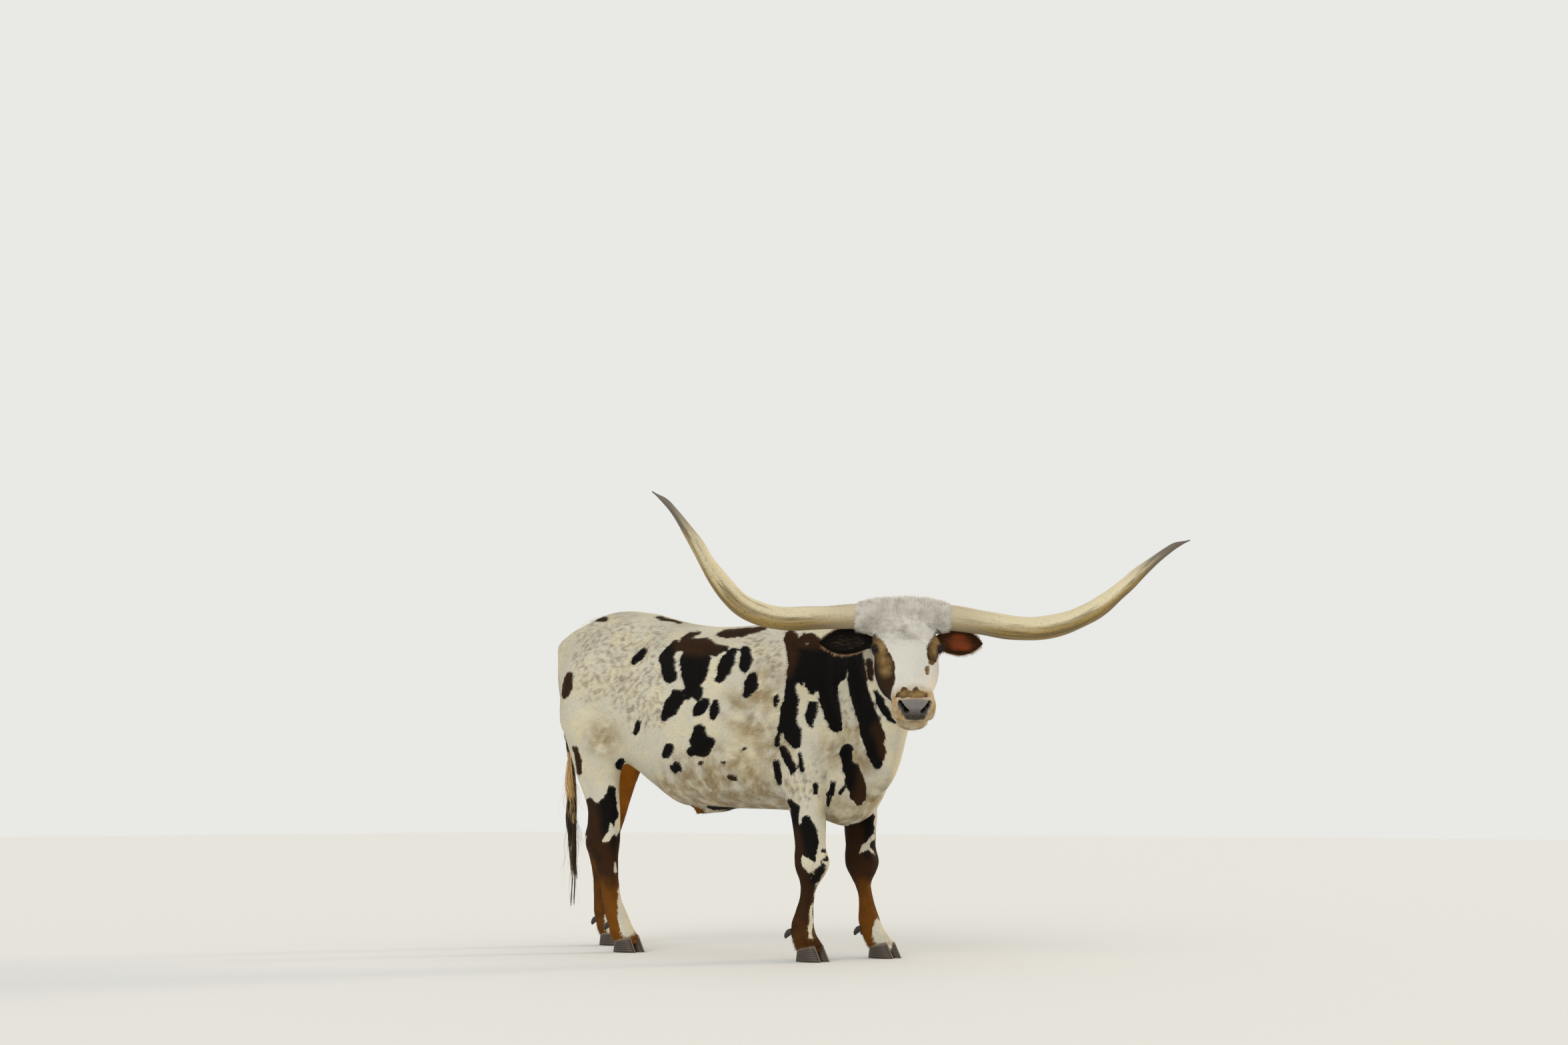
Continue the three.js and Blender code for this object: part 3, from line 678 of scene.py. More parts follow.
TRUNK_SWELLS = [
    (-430, 262, 1395, 70, 70, 62, 4, 24, 14), (-850, 120, 1330, 45, 60, 60, -8, 8, 4),
    (-300, 290, 1270, 110, 90, 110, 0, -30, 0), (-600, 250, 1090, 150, 120, 180, 0, 18, 0),
    (520, 230, 1120, 110, 120, 190, 0, 20, 0), (690, 200, 880, 90, 100, 110, 12, 24, 0),
    (330, 310, 1000, 70, 120, 260, 0, -12, 0), (430, 240, 700, 80, 110, 110, 0, 22, 0),
]
HEAD_SWELLS = [
    (200, 112, -18, 50, 40, 40, 0, 10, 8), (265, 104, -150, 85, 60, 60, 0, 12, 0),
    (320, 90, -92, 60, 30, 40, 0, 5, 0), (530, 52, -76, 26, 30, 30, 4, 8, 4),
]


def cross_loft(table: Sequence, rings: int, sides: int, swells: Sequence = ()) -> Array:
    """Return rings of points for sections that stand across X: each row gives its section by superellipse.

    Args:
        table: The numbers of the stations.
        rings: How many rings of points.
        sides: Points round each ring.
        swells: Rows with a middle, three reaches and a push.

    Returns:
        Rings of points.
    """
    t = np.asarray(table, float)
    share = (1.0 - np.cos(np.linspace(0.0, math.pi, rings))) / 2.0
    x = t[0, 0] + (t[-1, 0] - t[0, 0]) * (0.6 * np.linspace(0.0, 1.0, rings) + 0.4 * share)
    flat = superellipse(row_at(t, x), sides)
    points = np.concatenate([np.broadcast_to(x[:, None, None], flat.shape[:2] + (1,)), flat], axis=-1)
    return swollen(points, swells) if len(swells) else points


def bent_loft(table: Sequence, rings: int, sides: int, level: Sequence[float] = (0.0, 1.0, 0.0)) -> Array:
    """Return rings of points carried along a bent line: rows are x, y, z and a radius or a superellipse.

    Args:
        table: The numbers of the stations.
        rings: How many rings of points.
        sides: Points round each ring.
        level: A direction that the side stays square to.

    Returns:
        Rings of points.
    """
    t = np.asarray(table, float)
    share = np.linspace(0.0, 1.0, rings)
    middle, side, up = frames_along(t[:, :3], share, np.asarray(level, float))
    rows = row_at(np.column_stack([np.arange(len(t)), t[:, 3:]]), share * (len(t) - 1))
    if rows.shape[1] == 1:
        r = rows[:, 0]
        rows = np.stack([r, r, r, np.full_like(r, 2.0), np.full_like(r, 2.0)], axis=1)
    top, bottom, half, above, below = rows.T
    flat = superellipse(np.stack([top, -bottom, half, np.zeros_like(top), above, below], 1), sides)
    return middle[:, None] + flat[..., :1] * side[:, None] + flat[..., 1:] * up[:, None]


def leg_loft(table: Sequence, side: float, sway: Sequence, rings: int, sides: int) -> Array:
    """Return a leg as level sections: rows are height, back, front, middle, half width and roundness.

    Args:
        table: The numbers of the stations.
        side: -1 for the right and 1 for the left.
        sway: By height, how far the leg is moved along the body.
        rings: How many rings of points.
        sides: Points round each ring.

    Returns:
        Rings of points.
    """
    t = np.asarray(table, float)
    z = np.linspace(t[0, 0], t[-1, 0], rings)
    back, front, middle, half, power = row_at(t, z).T
    zero = np.zeros_like(z)
    flat = superellipse(np.stack([half, -half, (front - back) / 2, zero, power, power], 1), sides)
    x = flat[..., 0] + ((front + back) / 2 + row_at(sway, z)[:, 0])[:, None]
    y = flat[..., 1] + side * middle[:, None]
    return np.stack([x, y, np.broadcast_to(z[:, None], x.shape)], axis=-1)


@dataclass
class Skin:
    """The hide: one closed surface over trunk, neck, head, legs and dock, in packed metres."""

    voxel: float = 13.4
    head_gain: float = 2.6
    head_reach: float = 330.0
    points: Array = field(default_factory=lambda: np.zeros((0, 3)))
    quads: Array = field(default_factory=lambda: np.zeros((0, 4), int))
    normals: Array = field(default_factory=lambda: np.zeros((0, 3)))
    fields: dict[str, Array] = field(default_factory=dict)

    def lofts(self) -> list[Shell]:
        """Return the closed forms that the hide is drawn round, in the stance frame.

        Returns:
            One closed surface for each form.
        """
        roll_rows = np.asarray(POLL_ROLL, float)
        side = np.linspace(-186.0, 186.0, 40)
        radius = row_at(roll_rows, side)[:, 0]
        angle = np.linspace(0.0, 2.0 * math.pi, 36, endpoint=False)
        ring = np.stack([np.cos(angle), np.zeros_like(angle), np.sin(angle)], 1)
        roll = HORN_SEAT + radius[:, None, None] * ring + side[:, None, None] * np.array([0.0, 1.0, 0.0])
        heads = [cross_loft(SKULL, 90, 72, HEAD_SWELLS), cross_loft(JAW, 40, 40), roll]
        legs = [
            leg_loft(FORELEG, -1.0, STILL, 110, 40), leg_loft(FORELEG, 1.0, FORE_LEFT_SWAY, 110, 40),
            leg_loft(HINDLEG, -1.0, STILL, 110, 40), leg_loft(HINDLEG, 1.0, HIND_LEFT_SWAY, 110, 40),
        ]
        rest = [
            cross_loft(TRUNK, 120, 96, TRUNK_SWELLS), bent_loft(SHEATH, 24, 24),
            bent_loft(NECK, 60, 80, (0.0, 0.0, 1.0)), bent_loft(DOCK, 60, 20),
        ]
        return [Shell.tube(r) for r in rest + legs] + [Shell.tube(from_head(r)) for r in heads]

    def warp(self, points: Array, back: bool = False) -> Array:
        """Enlarge the space round the head, so that even voxels are finer there, or undo it.

        A distance r from the head's middle becomes gain * r up to the reach, and r plus a constant past it.

        Args:
            points: Points, one in a row.
            back: Whether to undo it.

        Returns:
            The moved points.
        """
        middle = from_head(HEAD_MIDDLE)
        away = points - middle
        r = np.linalg.norm(away, axis=1, keepdims=True)
        extra = (self.head_gain - 1.0) * self.head_reach
        if back:
            new = np.where(r < self.head_gain * self.head_reach, r / self.head_gain, r - extra)
        else:
            new = np.where(r < self.head_reach, r * self.head_gain, r + extra)
        return middle + away * new / np.maximum(r, 1e-9)

    def build(self) -> None:
        """Join the forms, relax their joins, and raise and sink the small forms of bone and muscle."""
        forms = Shell.joined(self.lofts())
        forms.points = self.warp(forms.points) * MM
        even = remeshed(forms, self.voxel * MM)
        points, self.quads = self.warp(even.points / MM, back=True), even.faces[0]
        relax = Relax(self.quads, len(points))
        body = self.away_from_head(points)
        points = relax.taubin(points, 6)
        points = relax.taubin(points, 12, body[:, None])
        points = relax.laplace(points, 14, self.near(points, JOINS)[:, None] * body[:, None])
        points = self.sculpt(points)
        points = relax.taubin(points, 2)
        points = self.sockets(self.coronets(points))
        self.normals = normals_of(points, self.quads)
        points = points - self.normals * self.inset(points)[:, None]
        self.points = packed(points)

    @staticmethod
    def coronets(points: Array) -> Array:
        """Draw the ends of the legs in under the tops of the claws.

        Args:
            points: Points, one in a row.

        Returns:
            The moved points.
        """
        moved = points.copy()
        low = points[:, 2] < 110.0
        feet = (
            (590, -180, STILL), (590, 180, FORE_LEFT_SWAY), (-400, -163, STILL), (-400, 163, HIND_LEFT_SWAY),
        )
        for x, y, sway in feet:
            middle = x + row_at(sway, points[:, 2])[:, 0]
            here = low & (np.hypot(points[:, 0] - middle, points[:, 1] - y) < 130.0)
            line = 48.0 + 0.2 * (points[:, 0] - middle + 55.0)
            share = 0.26 * ease(3, -12, points[:, 2] - line) * here
            moved[:, 0] += share * (middle - points[:, 0])
            moved[:, 1] += share * (y - points[:, 1])
        return moved

    @staticmethod
    def sockets(points: Array) -> Array:
        """Swell the skin over the lids, out to a ball round each eye, and keep it back under the opening.

        Args:
            points: Points, one in a row.

        Returns:
            The moved points.
        """
        in_head = to_head(points)
        moved = in_head.copy()
        for hand in (1.0, -1.0):
            gaze = unit(np.array(EYE_GAZE) * [1.0, hand, 1.0])
            along = unit(np.array([1.0, 0.0, 0.0]) - gaze[0] * gaze)
            up = np.cross(gaze, along) * hand
            away = in_head - np.array(EYE_PLACE) * [1.0, hand, 1.0]
            far = np.maximum(np.linalg.norm(away, axis=1), 1e-6)
            polar = np.arccos(np.clip(away @ gaze / far, -1.0, 1.0))
            past = polar - lid_opening(np.arctan2(away @ up, away @ along))
            closed = ease(0.22, 0.45, past)
            swollen = 0.5 * (far + 23.0 + np.hypot(far - 23.0, 9.0))
            wide = closed * swollen + (1.0 - closed) * np.minimum(far, 18.0)
            share = ease(2.1, 1.6, polar) * ease(75, 45, far)
            moved += away / far[:, None] * ((wide - far) * share)[:, None]
        return from_head(moved)

    @staticmethod
    def is_head(points: Array) -> Array:
        """Return whether each point is on the head's side of the throat."""
        return to_head(points) @ THROAT > -65.0

    def away_from_head(self, points: Array) -> Array:
        """Return 0 on the head and 1 on the body."""
        return ease(430, 620, np.linalg.norm(to_head(points) - HEAD_MIDDLE, axis=1))

    @staticmethod
    def near(points: Array, places: Sequence) -> Array:
        """Return how near each point is to any of the places: rows are x, y, z and reach.

        Args:
            points: Points, one in a row.
            places: Rows of x, y, z and reach.

        Returns:
            A share for each point: 1 at a place, fading with its reach.
        """
        out = np.zeros(len(points))
        for x, y, z, reach in places:
            for hand in (1.0,) if y == 0 else (1.0, -1.0):
                far = ((points - [x, hand * y, z]) ** 2).sum(1) / reach**2
                out = np.maximum(out, np.exp(-far))
        return out

    def inset(self, points: Array) -> Array:
        """Return how deep the hide lies under the outline of the coat, in millimetres."""
        return 1.0 + 2.5 * ease(300, 800, points[:, 2]) * self.away_from_head(points)

    def sculpt(self, points: Array) -> Array:
        """Raise or sink the surface along its normals by Gaussian forms and grooves.

        Args:
            points: Points, one in a row.

        Returns:
            The moved points.
        """
        normals = normals_of(points, self.quads)
        in_head = to_head(points)
        push = np.zeros(len(points))
        for frame, rows in ((points, BODY_FORMS), (in_head, HEAD_FORMS)):
            for x, y, z, rx, ry, rz, height in rows:
                for hand in (1.0,) if y == 0 else (1.0, -1.0):
                    far = (((frame - [x, hand * y, z]) / [rx, ry, rz]) ** 2).sum(1)
                    push += height * np.exp(-far)
        for frame, rows in ((points, BODY_LINES), (in_head, HEAD_LINES)):
            for line, width, height in rows:
                for hand in (1.0, -1.0):
                    path = np.asarray(line, float) * [1.0, hand, 1.0]
                    push += height * bell(line_distance(frame, path)[0], width)
        push += self.mouth(in_head) + self.neck_folds(points)
        points = points + normals * push[:, None]
        return points + self.nostrils(in_head)

    @staticmethod
    def mouth(in_head: Array) -> Array:
        """Return the groove between the lips: a narrow trough at one depth, from the corner to the front.

        Args:
            in_head: Points in the head's frame, in millimetres.

        Returns:
            How far each point moves out, in millimetres.
        """
        along, side, depth = in_head.T
        line = LIP_LINE + 6.0 * ease(500, 440, along)
        share = ease(430, 452, along) * ease(20, 45, np.hypot(along - 440.0, side))
        bands = ((-6.5, 0.0, 5.0), (2.5, 13.0, 8.0), (2.0, -13.0, 8.0))
        return share * sum(height * bell(depth - line - off, width) for height, off, width in bands)

    @staticmethod
    def nostrils(in_head: Array) -> Array:
        """Return the sinking of the two nostrils, comma-shaped pits that run in and back.

        Args:
            in_head: Points in the head's frame, in millimetres.

        Returns:
            How far each point moves, in the head's frame.
        """
        out = np.zeros_like(in_head)
        for hand in (1.0, -1.0):
            path = np.array(NOSTRIL, float) * [1.0, hand, 1.0]
            far, share = line_distance(in_head, path)
            width = 10.0 - 3.5 * share
            depth = 26.0 * ease(width + 2.5, width - 5, far)
            rim = 2.6 * bell(far - width - 6.0, 4.0)
            ahead = ease(520, 540, in_head[:, 0])
            inward = unit(np.array([-0.86, -0.42 * hand, -0.1]))
            out += (depth * ahead)[:, None] * inward - (rim * ahead)[:, None] * inward
        return out @ HEAD

    @staticmethod
    def neck_folds(points: Array) -> Array:
        """Return soft upright folds on the side that the neck bends to, as a wave along the neck's line.

        Args:
            points: Points, one in a row.

        Returns:
            How far each point moves out, in millimetres.
        """
        ahead = (points[:, 0] - 620.0) * 0.868 + (points[:, 2] - 1100.0) * 0.2
        share = ease(40, 110, ahead) * ease(400, 300, ahead)
        share = share * ease(-30, -120, points[:, 1] + 0.35 * np.maximum(points[:, 0] - 700.0, 0.0))
        share = share * ease(760, 900, points[:, 2]) * ease(1420, 1300, points[:, 2])
        return 4.0 * share * np.sin(2.0 * math.pi * (ahead + 0.06 * points[:, 2]) / 78.0)

    def triangles(self) -> Array:
        """Return the hide's quads cut into triangles."""
        return np.vstack([self.quads[:, [0, 1, 2]], self.quads[:, [0, 2, 3]]])


def lid_opening(turn: Array) -> Array:
    """Return how far off an eye's axis its almond opening reaches, from the angle round the axis."""
    reach = (np.abs(np.cos(turn)) / 0.74) ** 1.5 + (np.abs(np.sin(turn)) / 0.50) ** 1.5
    return np.maximum(reach, 1e-9) ** (-1.0 / 1.5)


def line_distance(points: Array, path: Array) -> tuple[Array, Array]:
    """Return each point's distance to a line of straight spans, and the share of its length nearest to it.

    Args:
        points: Points, one in a row.
        path: The line's corners.

    Returns:
        The distance and the share, for each point.
    """
    best = np.full(len(points), 1e9)
    share = np.zeros(len(points))
    for k, (a, b) in enumerate(zip(path[:-1, :3], path[1:, :3])):
        span = b - a
        t = np.clip((points - a) @ span / max(float(span @ span), 1e-9), 0.0, 1.0)
        far = np.linalg.norm(points - a - t[:, None] * span, axis=1)
        nearer = far < best
        best[nearer], share[nearer] = far[nearer], ((k + t) / (len(path) - 1))[nearer]
    return best, share


# Where two forms meet and the hide is drawn over them: x, y, z, reach
JOINS = [
    (560, 190, 700, 90), (480, 200, 690, 80), (640, 190, 660, 80), (-560, 200, 850, 110),
    (-430, 180, 800, 90), (-690, 190, 900, 90), (-760, 0, 1400, 60), (-880, 0, 1300, 60),
    (-100, 0, 640, 60), (620, 120, 1200, 160), (700, 120, 1000, 150), (600, 190, 900, 140),
    (760, 60, 760, 110), (1020, -80, 1160, 90),
]
# Bone and muscle on the body: x, y, z, reach x, reach y, reach z, height; each is on both sides
BODY_FORMS = [
    (-428, 262, 1402, 38, 40, 34, 9), (-862, 110, 1338, 30, 36, 42, 8),
    (-640, 130, 1470, 120, 60, 60, -6), (-760, 60, 1440, 60, 40, 50, -9),
    (-470, 268, 940, 60, 60, 110, -7), (-520, 262, 1180, 90, 60, 90, 5), (600, 235, 860, 40, 60, 90, 7),
    (560, 240, 1010, 22, 50, 150, 6), (455, 250, 760, 40, 60, 60, 8), (640, 150, 640, 60, 60, 60, -4),
    (-445, 190, 810, 36, 50, 46, 6), (655, 176, 400, 22, 40, 34, 4), (525, 176, 420, 20, 40, 26, 5),
    (-636, 164, 500, 20, 30, 26, 5), (-470, 164, 470, 20, 40, 40, 3),
]
# Tendons and edges on the body, on both sides: line, width, height
BODY_LINES = [
    ([(560, 205, 520), (580, 204, 640), (600, 215, 740)], 16, -4),
    ([(566, 140, 300), (560, 142, 200)], 9, -3),
    ([(566, 212, 300), (560, 214, 200)], 9, -3),
    ([(-560, 210, 560), (-580, 214, 660), (-600, 230, 760)], 18, -5),
    ([(-520, 196, 400), (-505, 196, 240)], 9, -3),
    ([(-520, 130, 400), (-505, 130, 240)], 9, -3),
    ([(-610, 130, 560), (-600, 122, 660)], 16, -4),
    ([(-450, 250, 840), (-380, 255, 900), (-330, 268, 980)], 30, 6),
    ([(420, 292, 1180), (400, 300, 1000), (410, 280, 820)], 34, -5),
]
# Bone, muscle and lips on the head, in its own frame: along, side, depth, reaches, height; on both sides
HEAD_FORMS = [
    (222, 112, -46, 32, 34, 28, 10), (196, 92, -8, 34, 26, 20, 5), (262, 100, -62, 20, 22, 18, -4),
    (300, 98, -96, 60, 26, 16, 4), (380, 62, -24, 60, 22, 30, -3), (440, 0, -20, 80, 22, 30, 3),
    (490, 66, -52, 40, 20, 24, 4), (545, 0, -176, 22, 40, 20, 5), (540, 30, -128, 30, 26, 10, 4),
    (340, 84, -180, 60, 24, 40, 4), (160, 0, 2, 60, 50, 30, 4), (100, 120, -110, 30, 30, 34, -6),
]
HEAD_LINES = [
    ([(556, 0, -96), (560, 0, -132)], 3.2, -1.3),
    ([(470, 82, -110), (505, 84, -122), (530, 80, -130)], 8, -2.2),
    ([(250, 108, -52), (290, 102, -74), (330, 94, -92)], 7, -2.4),
]
NOSTRIL = [(566, 34, -85), (565, 41, -79), (561, 48, -71), (554, 54, -63), (549, 57, -58)]

# Strokes of the pattern as discs joined up: x, y and radius in pixels of the photograph
DARK = [
    # saddle
    [(1011.5, 966.3, 5.9), (998.9, 985.8, 10.2), (1001.1, 1000.5, 11.8), (1003.8, 1013.9, 11.8)],
    [(1017.7, 969.7, 7), (1034.3, 969.7, 11.8), (1055.7, 972.4, 15.5), (1069.1, 975.1, 10.2),
    (1085.2, 973.8, 4.8)], [(1024.9, 960.4, 5.4), (1034.3, 952.9, 4.3), (1047.2, 950.2, 3.2)],
    [(1042.3, 989.8, 23.6), (1040.2, 1008.6, 20.9), (1037.5, 1026, 13.4), (1034.3, 1038, 7.5),
    (1031.1, 1046.6, 3.2)],
    # strip on the back
    [(1076.6, 952.3, 3.2), (1090.6, 951.3, 8), (1109.3, 949.1, 8.8), (1128.1, 945.9, 6.4),
    (1147.4, 942.1, 3.2)],
    # lobes behind the shoulder
    [(1099.1, 975.4, 5.4), (1091.1, 989.8, 10.2), (1084.7, 1004.6, 9.6), (1078.8, 1019.3, 5.9)],
    [(1116.8, 977, 7.5), (1117.9, 989.8, 9.6), (1114.7, 1002.2, 6.4)],
    # spots of the side
    [(1128.1, 1016.1, 7), (1124.8, 1028.7, 10.7), (1119, 1042.3, 5.4)], [(1164.5, 1043.9, 2.7),
    (1162.6, 1052, 4.6), (1160.7, 1060, 2.4)], [(966, 977, 3.8), (958.2, 985.5, 6.2),
    (949.1, 993.8, 3.2)], [(1021.4, 1041.3, 4.8), (1015, 1045.6, 10.7), (1005.4, 1060.8, 12.3),
    (995.5, 1076.6, 5.4)], [(1047.7, 1036.4, 5.4), (1045, 1046.6, 5.9)], [(1057.3, 1054.1, 5.9),
    (1049.8, 1062.7, 9.1), (1042.3, 1071.3, 4.8)], [(1072.9, 1055.7, 4.8), (1070.5, 1064.8, 7.5),
    (1068.1, 1076.1, 4.8)], [(957.2, 1085.7, 2.9), (955.3, 1093.2, 5.1), (953.4, 1100.7, 2.7)],
    [(1048.8, 1097.5, 9.1), (1047.7, 1112.5, 13.9), (1052.5, 1125.9, 10.7)], [(1047.7, 1122.4, 12.9),
    (1035.9, 1129.1, 5.4)], [(1062.4, 1115.7, 8.6), (1055.7, 1121.1, 10.7)], [(1003.5, 1121.6, 5.9),
    (998.9, 1131.8, 7)], [(1013.4, 1153.2, 7.8)],
    # belly
    [(1062, 1210.5, 3.4), (1080, 1212.5, 4), (1098, 1212, 3)], [(1038, 1212, 4), (1048, 1219, 7)],
    [(1096, 1168, 3.2), (1101, 1170, 3.6)], [(1082.4, 1144.8, 1.4), (1086, 1147, 1.2)],
    [(1049, 1147, 1.4), (1053, 1145, 1.2)], [(1112, 1126, 1.3), (1116, 1123, 1.5)],
    # rump and thigh
    [(930.4, 1145.2, 4.8), (928.8, 1151.1, 5.9)], [(854, 1015.3, 5.9), (851.1, 1029.5, 9.1),
    (846.3, 1045, 4.8)], [(895.5, 931.4, 2.7), (907.1, 929.8, 4.8)], [(985.6, 926.1, 2.4),
    (1004.8, 930.9, 3.2), (1020.9, 934.6, 1.9)], [(862.9, 1124.6, 3.6), (867.3, 1142.5, 5.4),
    (869.1, 1160.8, 3.1)],
    # neck and shoulder
    [(1185.1, 956.9, 10.1), (1190.2, 976.4, 11.9), (1196.6, 997.1, 16.1), (1193.1, 1015.5, 13.8),
    (1186.3, 1032.7, 10.1), (1185.6, 1051.1, 11.5), (1182.4, 1067.1, 12.4), (1177.1, 1084.4, 8.3),
    (1167.2, 1099.3, 3.7), (1164, 1117.7, 2.8)], [(1184.2, 1082.1, 9.6), (1186.9, 1103.9, 12.9),
    (1190.6, 1113.8, 9.6), (1196.1, 1097, 5.1)], [(1210.4, 967.3, 18.4), (1226.4, 985.6, 25.3),
    (1221.8, 1008.6, 21.8), (1218.4, 1023.5, 13.8), (1215.4, 1038.4, 5.1)], [(1249.4, 981, 23),
    (1244.8, 1008.6, 20.7), (1240.2, 1029.3, 13.3), (1243, 1049.9, 13.8), (1246.6, 1070.6, 12.4),
    (1252.6, 1089.4, 8.7)], [(1277, 981, 19.5), (1282.7, 1008.6, 17.2), (1285, 1027, 15.6),
    (1291.2, 1049.9, 15.6), (1300.4, 1077.5, 16.5), (1308.6, 1105, 17.9), (1313.2, 1128, 14.2),
    (1315.1, 1147.5, 8.3)], [(1216.3, 1060.9, 7.3), (1215, 1075.2, 8.3), (1215, 1089.4, 3.7)],
    [(1269.2, 1126.6, 8), (1268.2, 1134.9, 7.6), (1269.6, 1146.4, 7.8), (1277.4, 1156.7, 11.9),
    (1283.4, 1176.2, 13.8), (1286.6, 1194.6, 11.5), (1286.6, 1205.6, 4.6)], [(1249.4, 1176.7, 2.3),
    (1248.3, 1187.7, 3.9), (1246.6, 1201.5, 1.8)], [(1265.9, 1183.6, 2.3), (1260.4, 1191.4, 2.3)],
    [(1241.1, 1192.3, 1.8), (1241.1, 1210.7, 1.8)],
    # spots of the side
    [(1222.5, 1179.9, 3.2), (1223, 1190.9, 3.2)],
    # neck and shoulder
    [(1198.4, 1132.6, 1.8), (1200.7, 1144.1, 3), (1201.9, 1156.7, 1.8)], [(1173.6, 1125.2, 5.3),
    (1181.4, 1139, 6.2), (1187.2, 1153.2, 5.3), (1187.9, 1161.5, 2.8)],
    # spots of the side
    [(1164.2, 1146.8, 3.2), (1166.3, 1160.1, 5.7), (1170.4, 1175.8, 3.2)],
    # near foreleg
    [(1185.8, 1205.1, 4.3), (1191.8, 1215, 7.5), (1190.6, 1232.8, 6.7), (1193.4, 1250.6, 6.7)],
    [(1208.4, 1231.2, 5.1), (1209.2, 1245.6, 12.3), (1210.8, 1264.4, 15.8), (1214.3, 1277.2, 11.1),
    (1217.5, 1286.5, 4.3)], [(1196.3, 1252.5, 7.1), (1195.3, 1280.2, 7.1), (1196.3, 1300, 6.7),
    (1205.2, 1317.7, 8.7), (1209.6, 1335.5, 9.9), (1207.6, 1351.3, 10.9), (1202.8, 1371.1, 12.6),
    (1198.9, 1390.9, 13), (1197.3, 1406.7, 13.8)], [(1230.1, 1308.9, 7.1), (1236.4, 1300.4, 2.4)],
    [(1224.6, 1320.7, 5.5)], [(1216.7, 1314.8, 2.8)], [(1222.6, 1292.5, 2.2)], [(1235.3, 1278.2, 1.8)],
    [(1240, 1290.5, 2.4), (1232.1, 1295.2, 1.8)],
    # far foreleg
    [(1290.2, 1240.7, 24.7), (1287.2, 1268.3, 21.7), (1294.2, 1294, 21.7), (1298.1, 1317.7, 17.8),
    (1298.1, 1339.5, 13.8), (1304, 1367.2, 15.8), (1307, 1396.8, 17.8)],
    # hind leg
    [(918.7, 1186.7, 4.5), (914.6, 1205, 10.7), (907.5, 1222.9, 17.9), (898.1, 1234, 21.2),
    (898.6, 1254.1, 22.3), (902.6, 1276.4, 21.2), (908.2, 1303.2, 17.4), (914.9, 1330, 13.8),
    (917.3, 1359, 12.1), (918.2, 1385.8, 11.2)], [(883.6, 1205, 5.4), (891.4, 1218.4, 13.4)],
    # behind the head
    # The first stroke, from behind the jaw down to the chin, is painted shadow where the neck meets the jaw's
    # underside.
    [(1312.8, 1039.2, 2.5), (1319.2, 1052.3, 5.5), (1326.9, 1067.7, 5.8), (1336.2, 1082.3, 3.4),
    (1343.1, 1086.2, 1.8)], [(1304.6, 993.8, 4.9), (1305.5, 1007.7, 4.9), (1306.5, 1020, 2.2)],
    [(1256, 990, 17), (1262, 1006, 13), (1262, 1018, 5)],
]
FACE_DARK = [
    # cheeks
    [(1311, 953, 4), (1312, 957, 6.5), (1317, 975, 12), (1323, 1000, 18.5), (1327, 1024, 17),
    (1331, 1048, 11), (1335, 1066, 6)], [(1405.5, 952, 4), (1405.5, 955, 6.5), (1401.5, 974, 9.5),
    (1399, 988, 7), (1397, 994, 4)], [(1391, 1003, 2), (1391, 1011, 1.6)],
    # over the nose
    [(1356.5, 1036.5, 3.8), (1359, 1041, 4)], [(1373.5, 1036, 4), (1376, 1041, 4)], [(1348, 1043.5, 3.4),
    (1368, 1042, 5), (1388, 1043.5, 3.4)],
]
WHITE = [
    # brisket
    [(1268, 1234, 4), (1279, 1234.5, 5), (1292, 1230, 5.5), (1304, 1222, 5)],
    # saddle
    [(1012, 989, 2.2), (1012, 998, 2.8), (1013.4, 1007, 1.6)],
    # legs
    [(914.6, 1237.4, 2.2), (917.3, 1249.6, 6.2), (909.7, 1260.4, 5.4), (905.3, 1263.9, 2.2)],
    [(922.2, 1297.6, 2.7), (923.6, 1309.9, 2.7)], [(928, 1334.5, 2.2), (931.6, 1352.3, 6.7),
    (936.1, 1374.6, 10.7), (941.7, 1394.7, 12.3)], [(1222.6, 1329.6, 2), (1220, 1351.3, 2),
    (1216.1, 1371.1, 2.4), (1217.1, 1386.9, 5.1), (1215.1, 1406.7, 4.3)],
    # far foreleg
    [(1290.2, 1281.6, 2.4), (1296.6, 1273.2, 5.6), (1303.6, 1264.4, 3.8), (1311.4, 1255.5, 2.6)],
    [(1301.4, 1271.4, 5.2), (1307.5, 1277.8, 3.8), (1312, 1284.6, 2.8)], [(1319.1, 1228.8, 4),
    (1316.5, 1252.5, 2.8)], [(1319.4, 1379, 2.8), (1323, 1402.7, 4)],
    # neck and shoulder
    [(1260.9, 1029.3, 3.7), (1265, 1049.9, 7.3), (1271, 1072.9, 10.1)], [(1195.4, 1029.7, 3.2),
    (1198.9, 1038.4, 6), (1203.9, 1048.8, 6.9)], [(1209.2, 962.7, 2.1), (1210.8, 966.1, 1.4)],
    [(1270.5, 1007.4, 0.9), (1271.4, 1016.6, 1.1)],
]
FACE_WHITE = [
    [(1310.8, 1016.9, 0.9), (1314.2, 1029.2, 1.8), (1320.8, 1041.5, 2.2), (1328.5, 1053.8, 1.8),
    (1333.5, 1064.6, 1.2)],
]
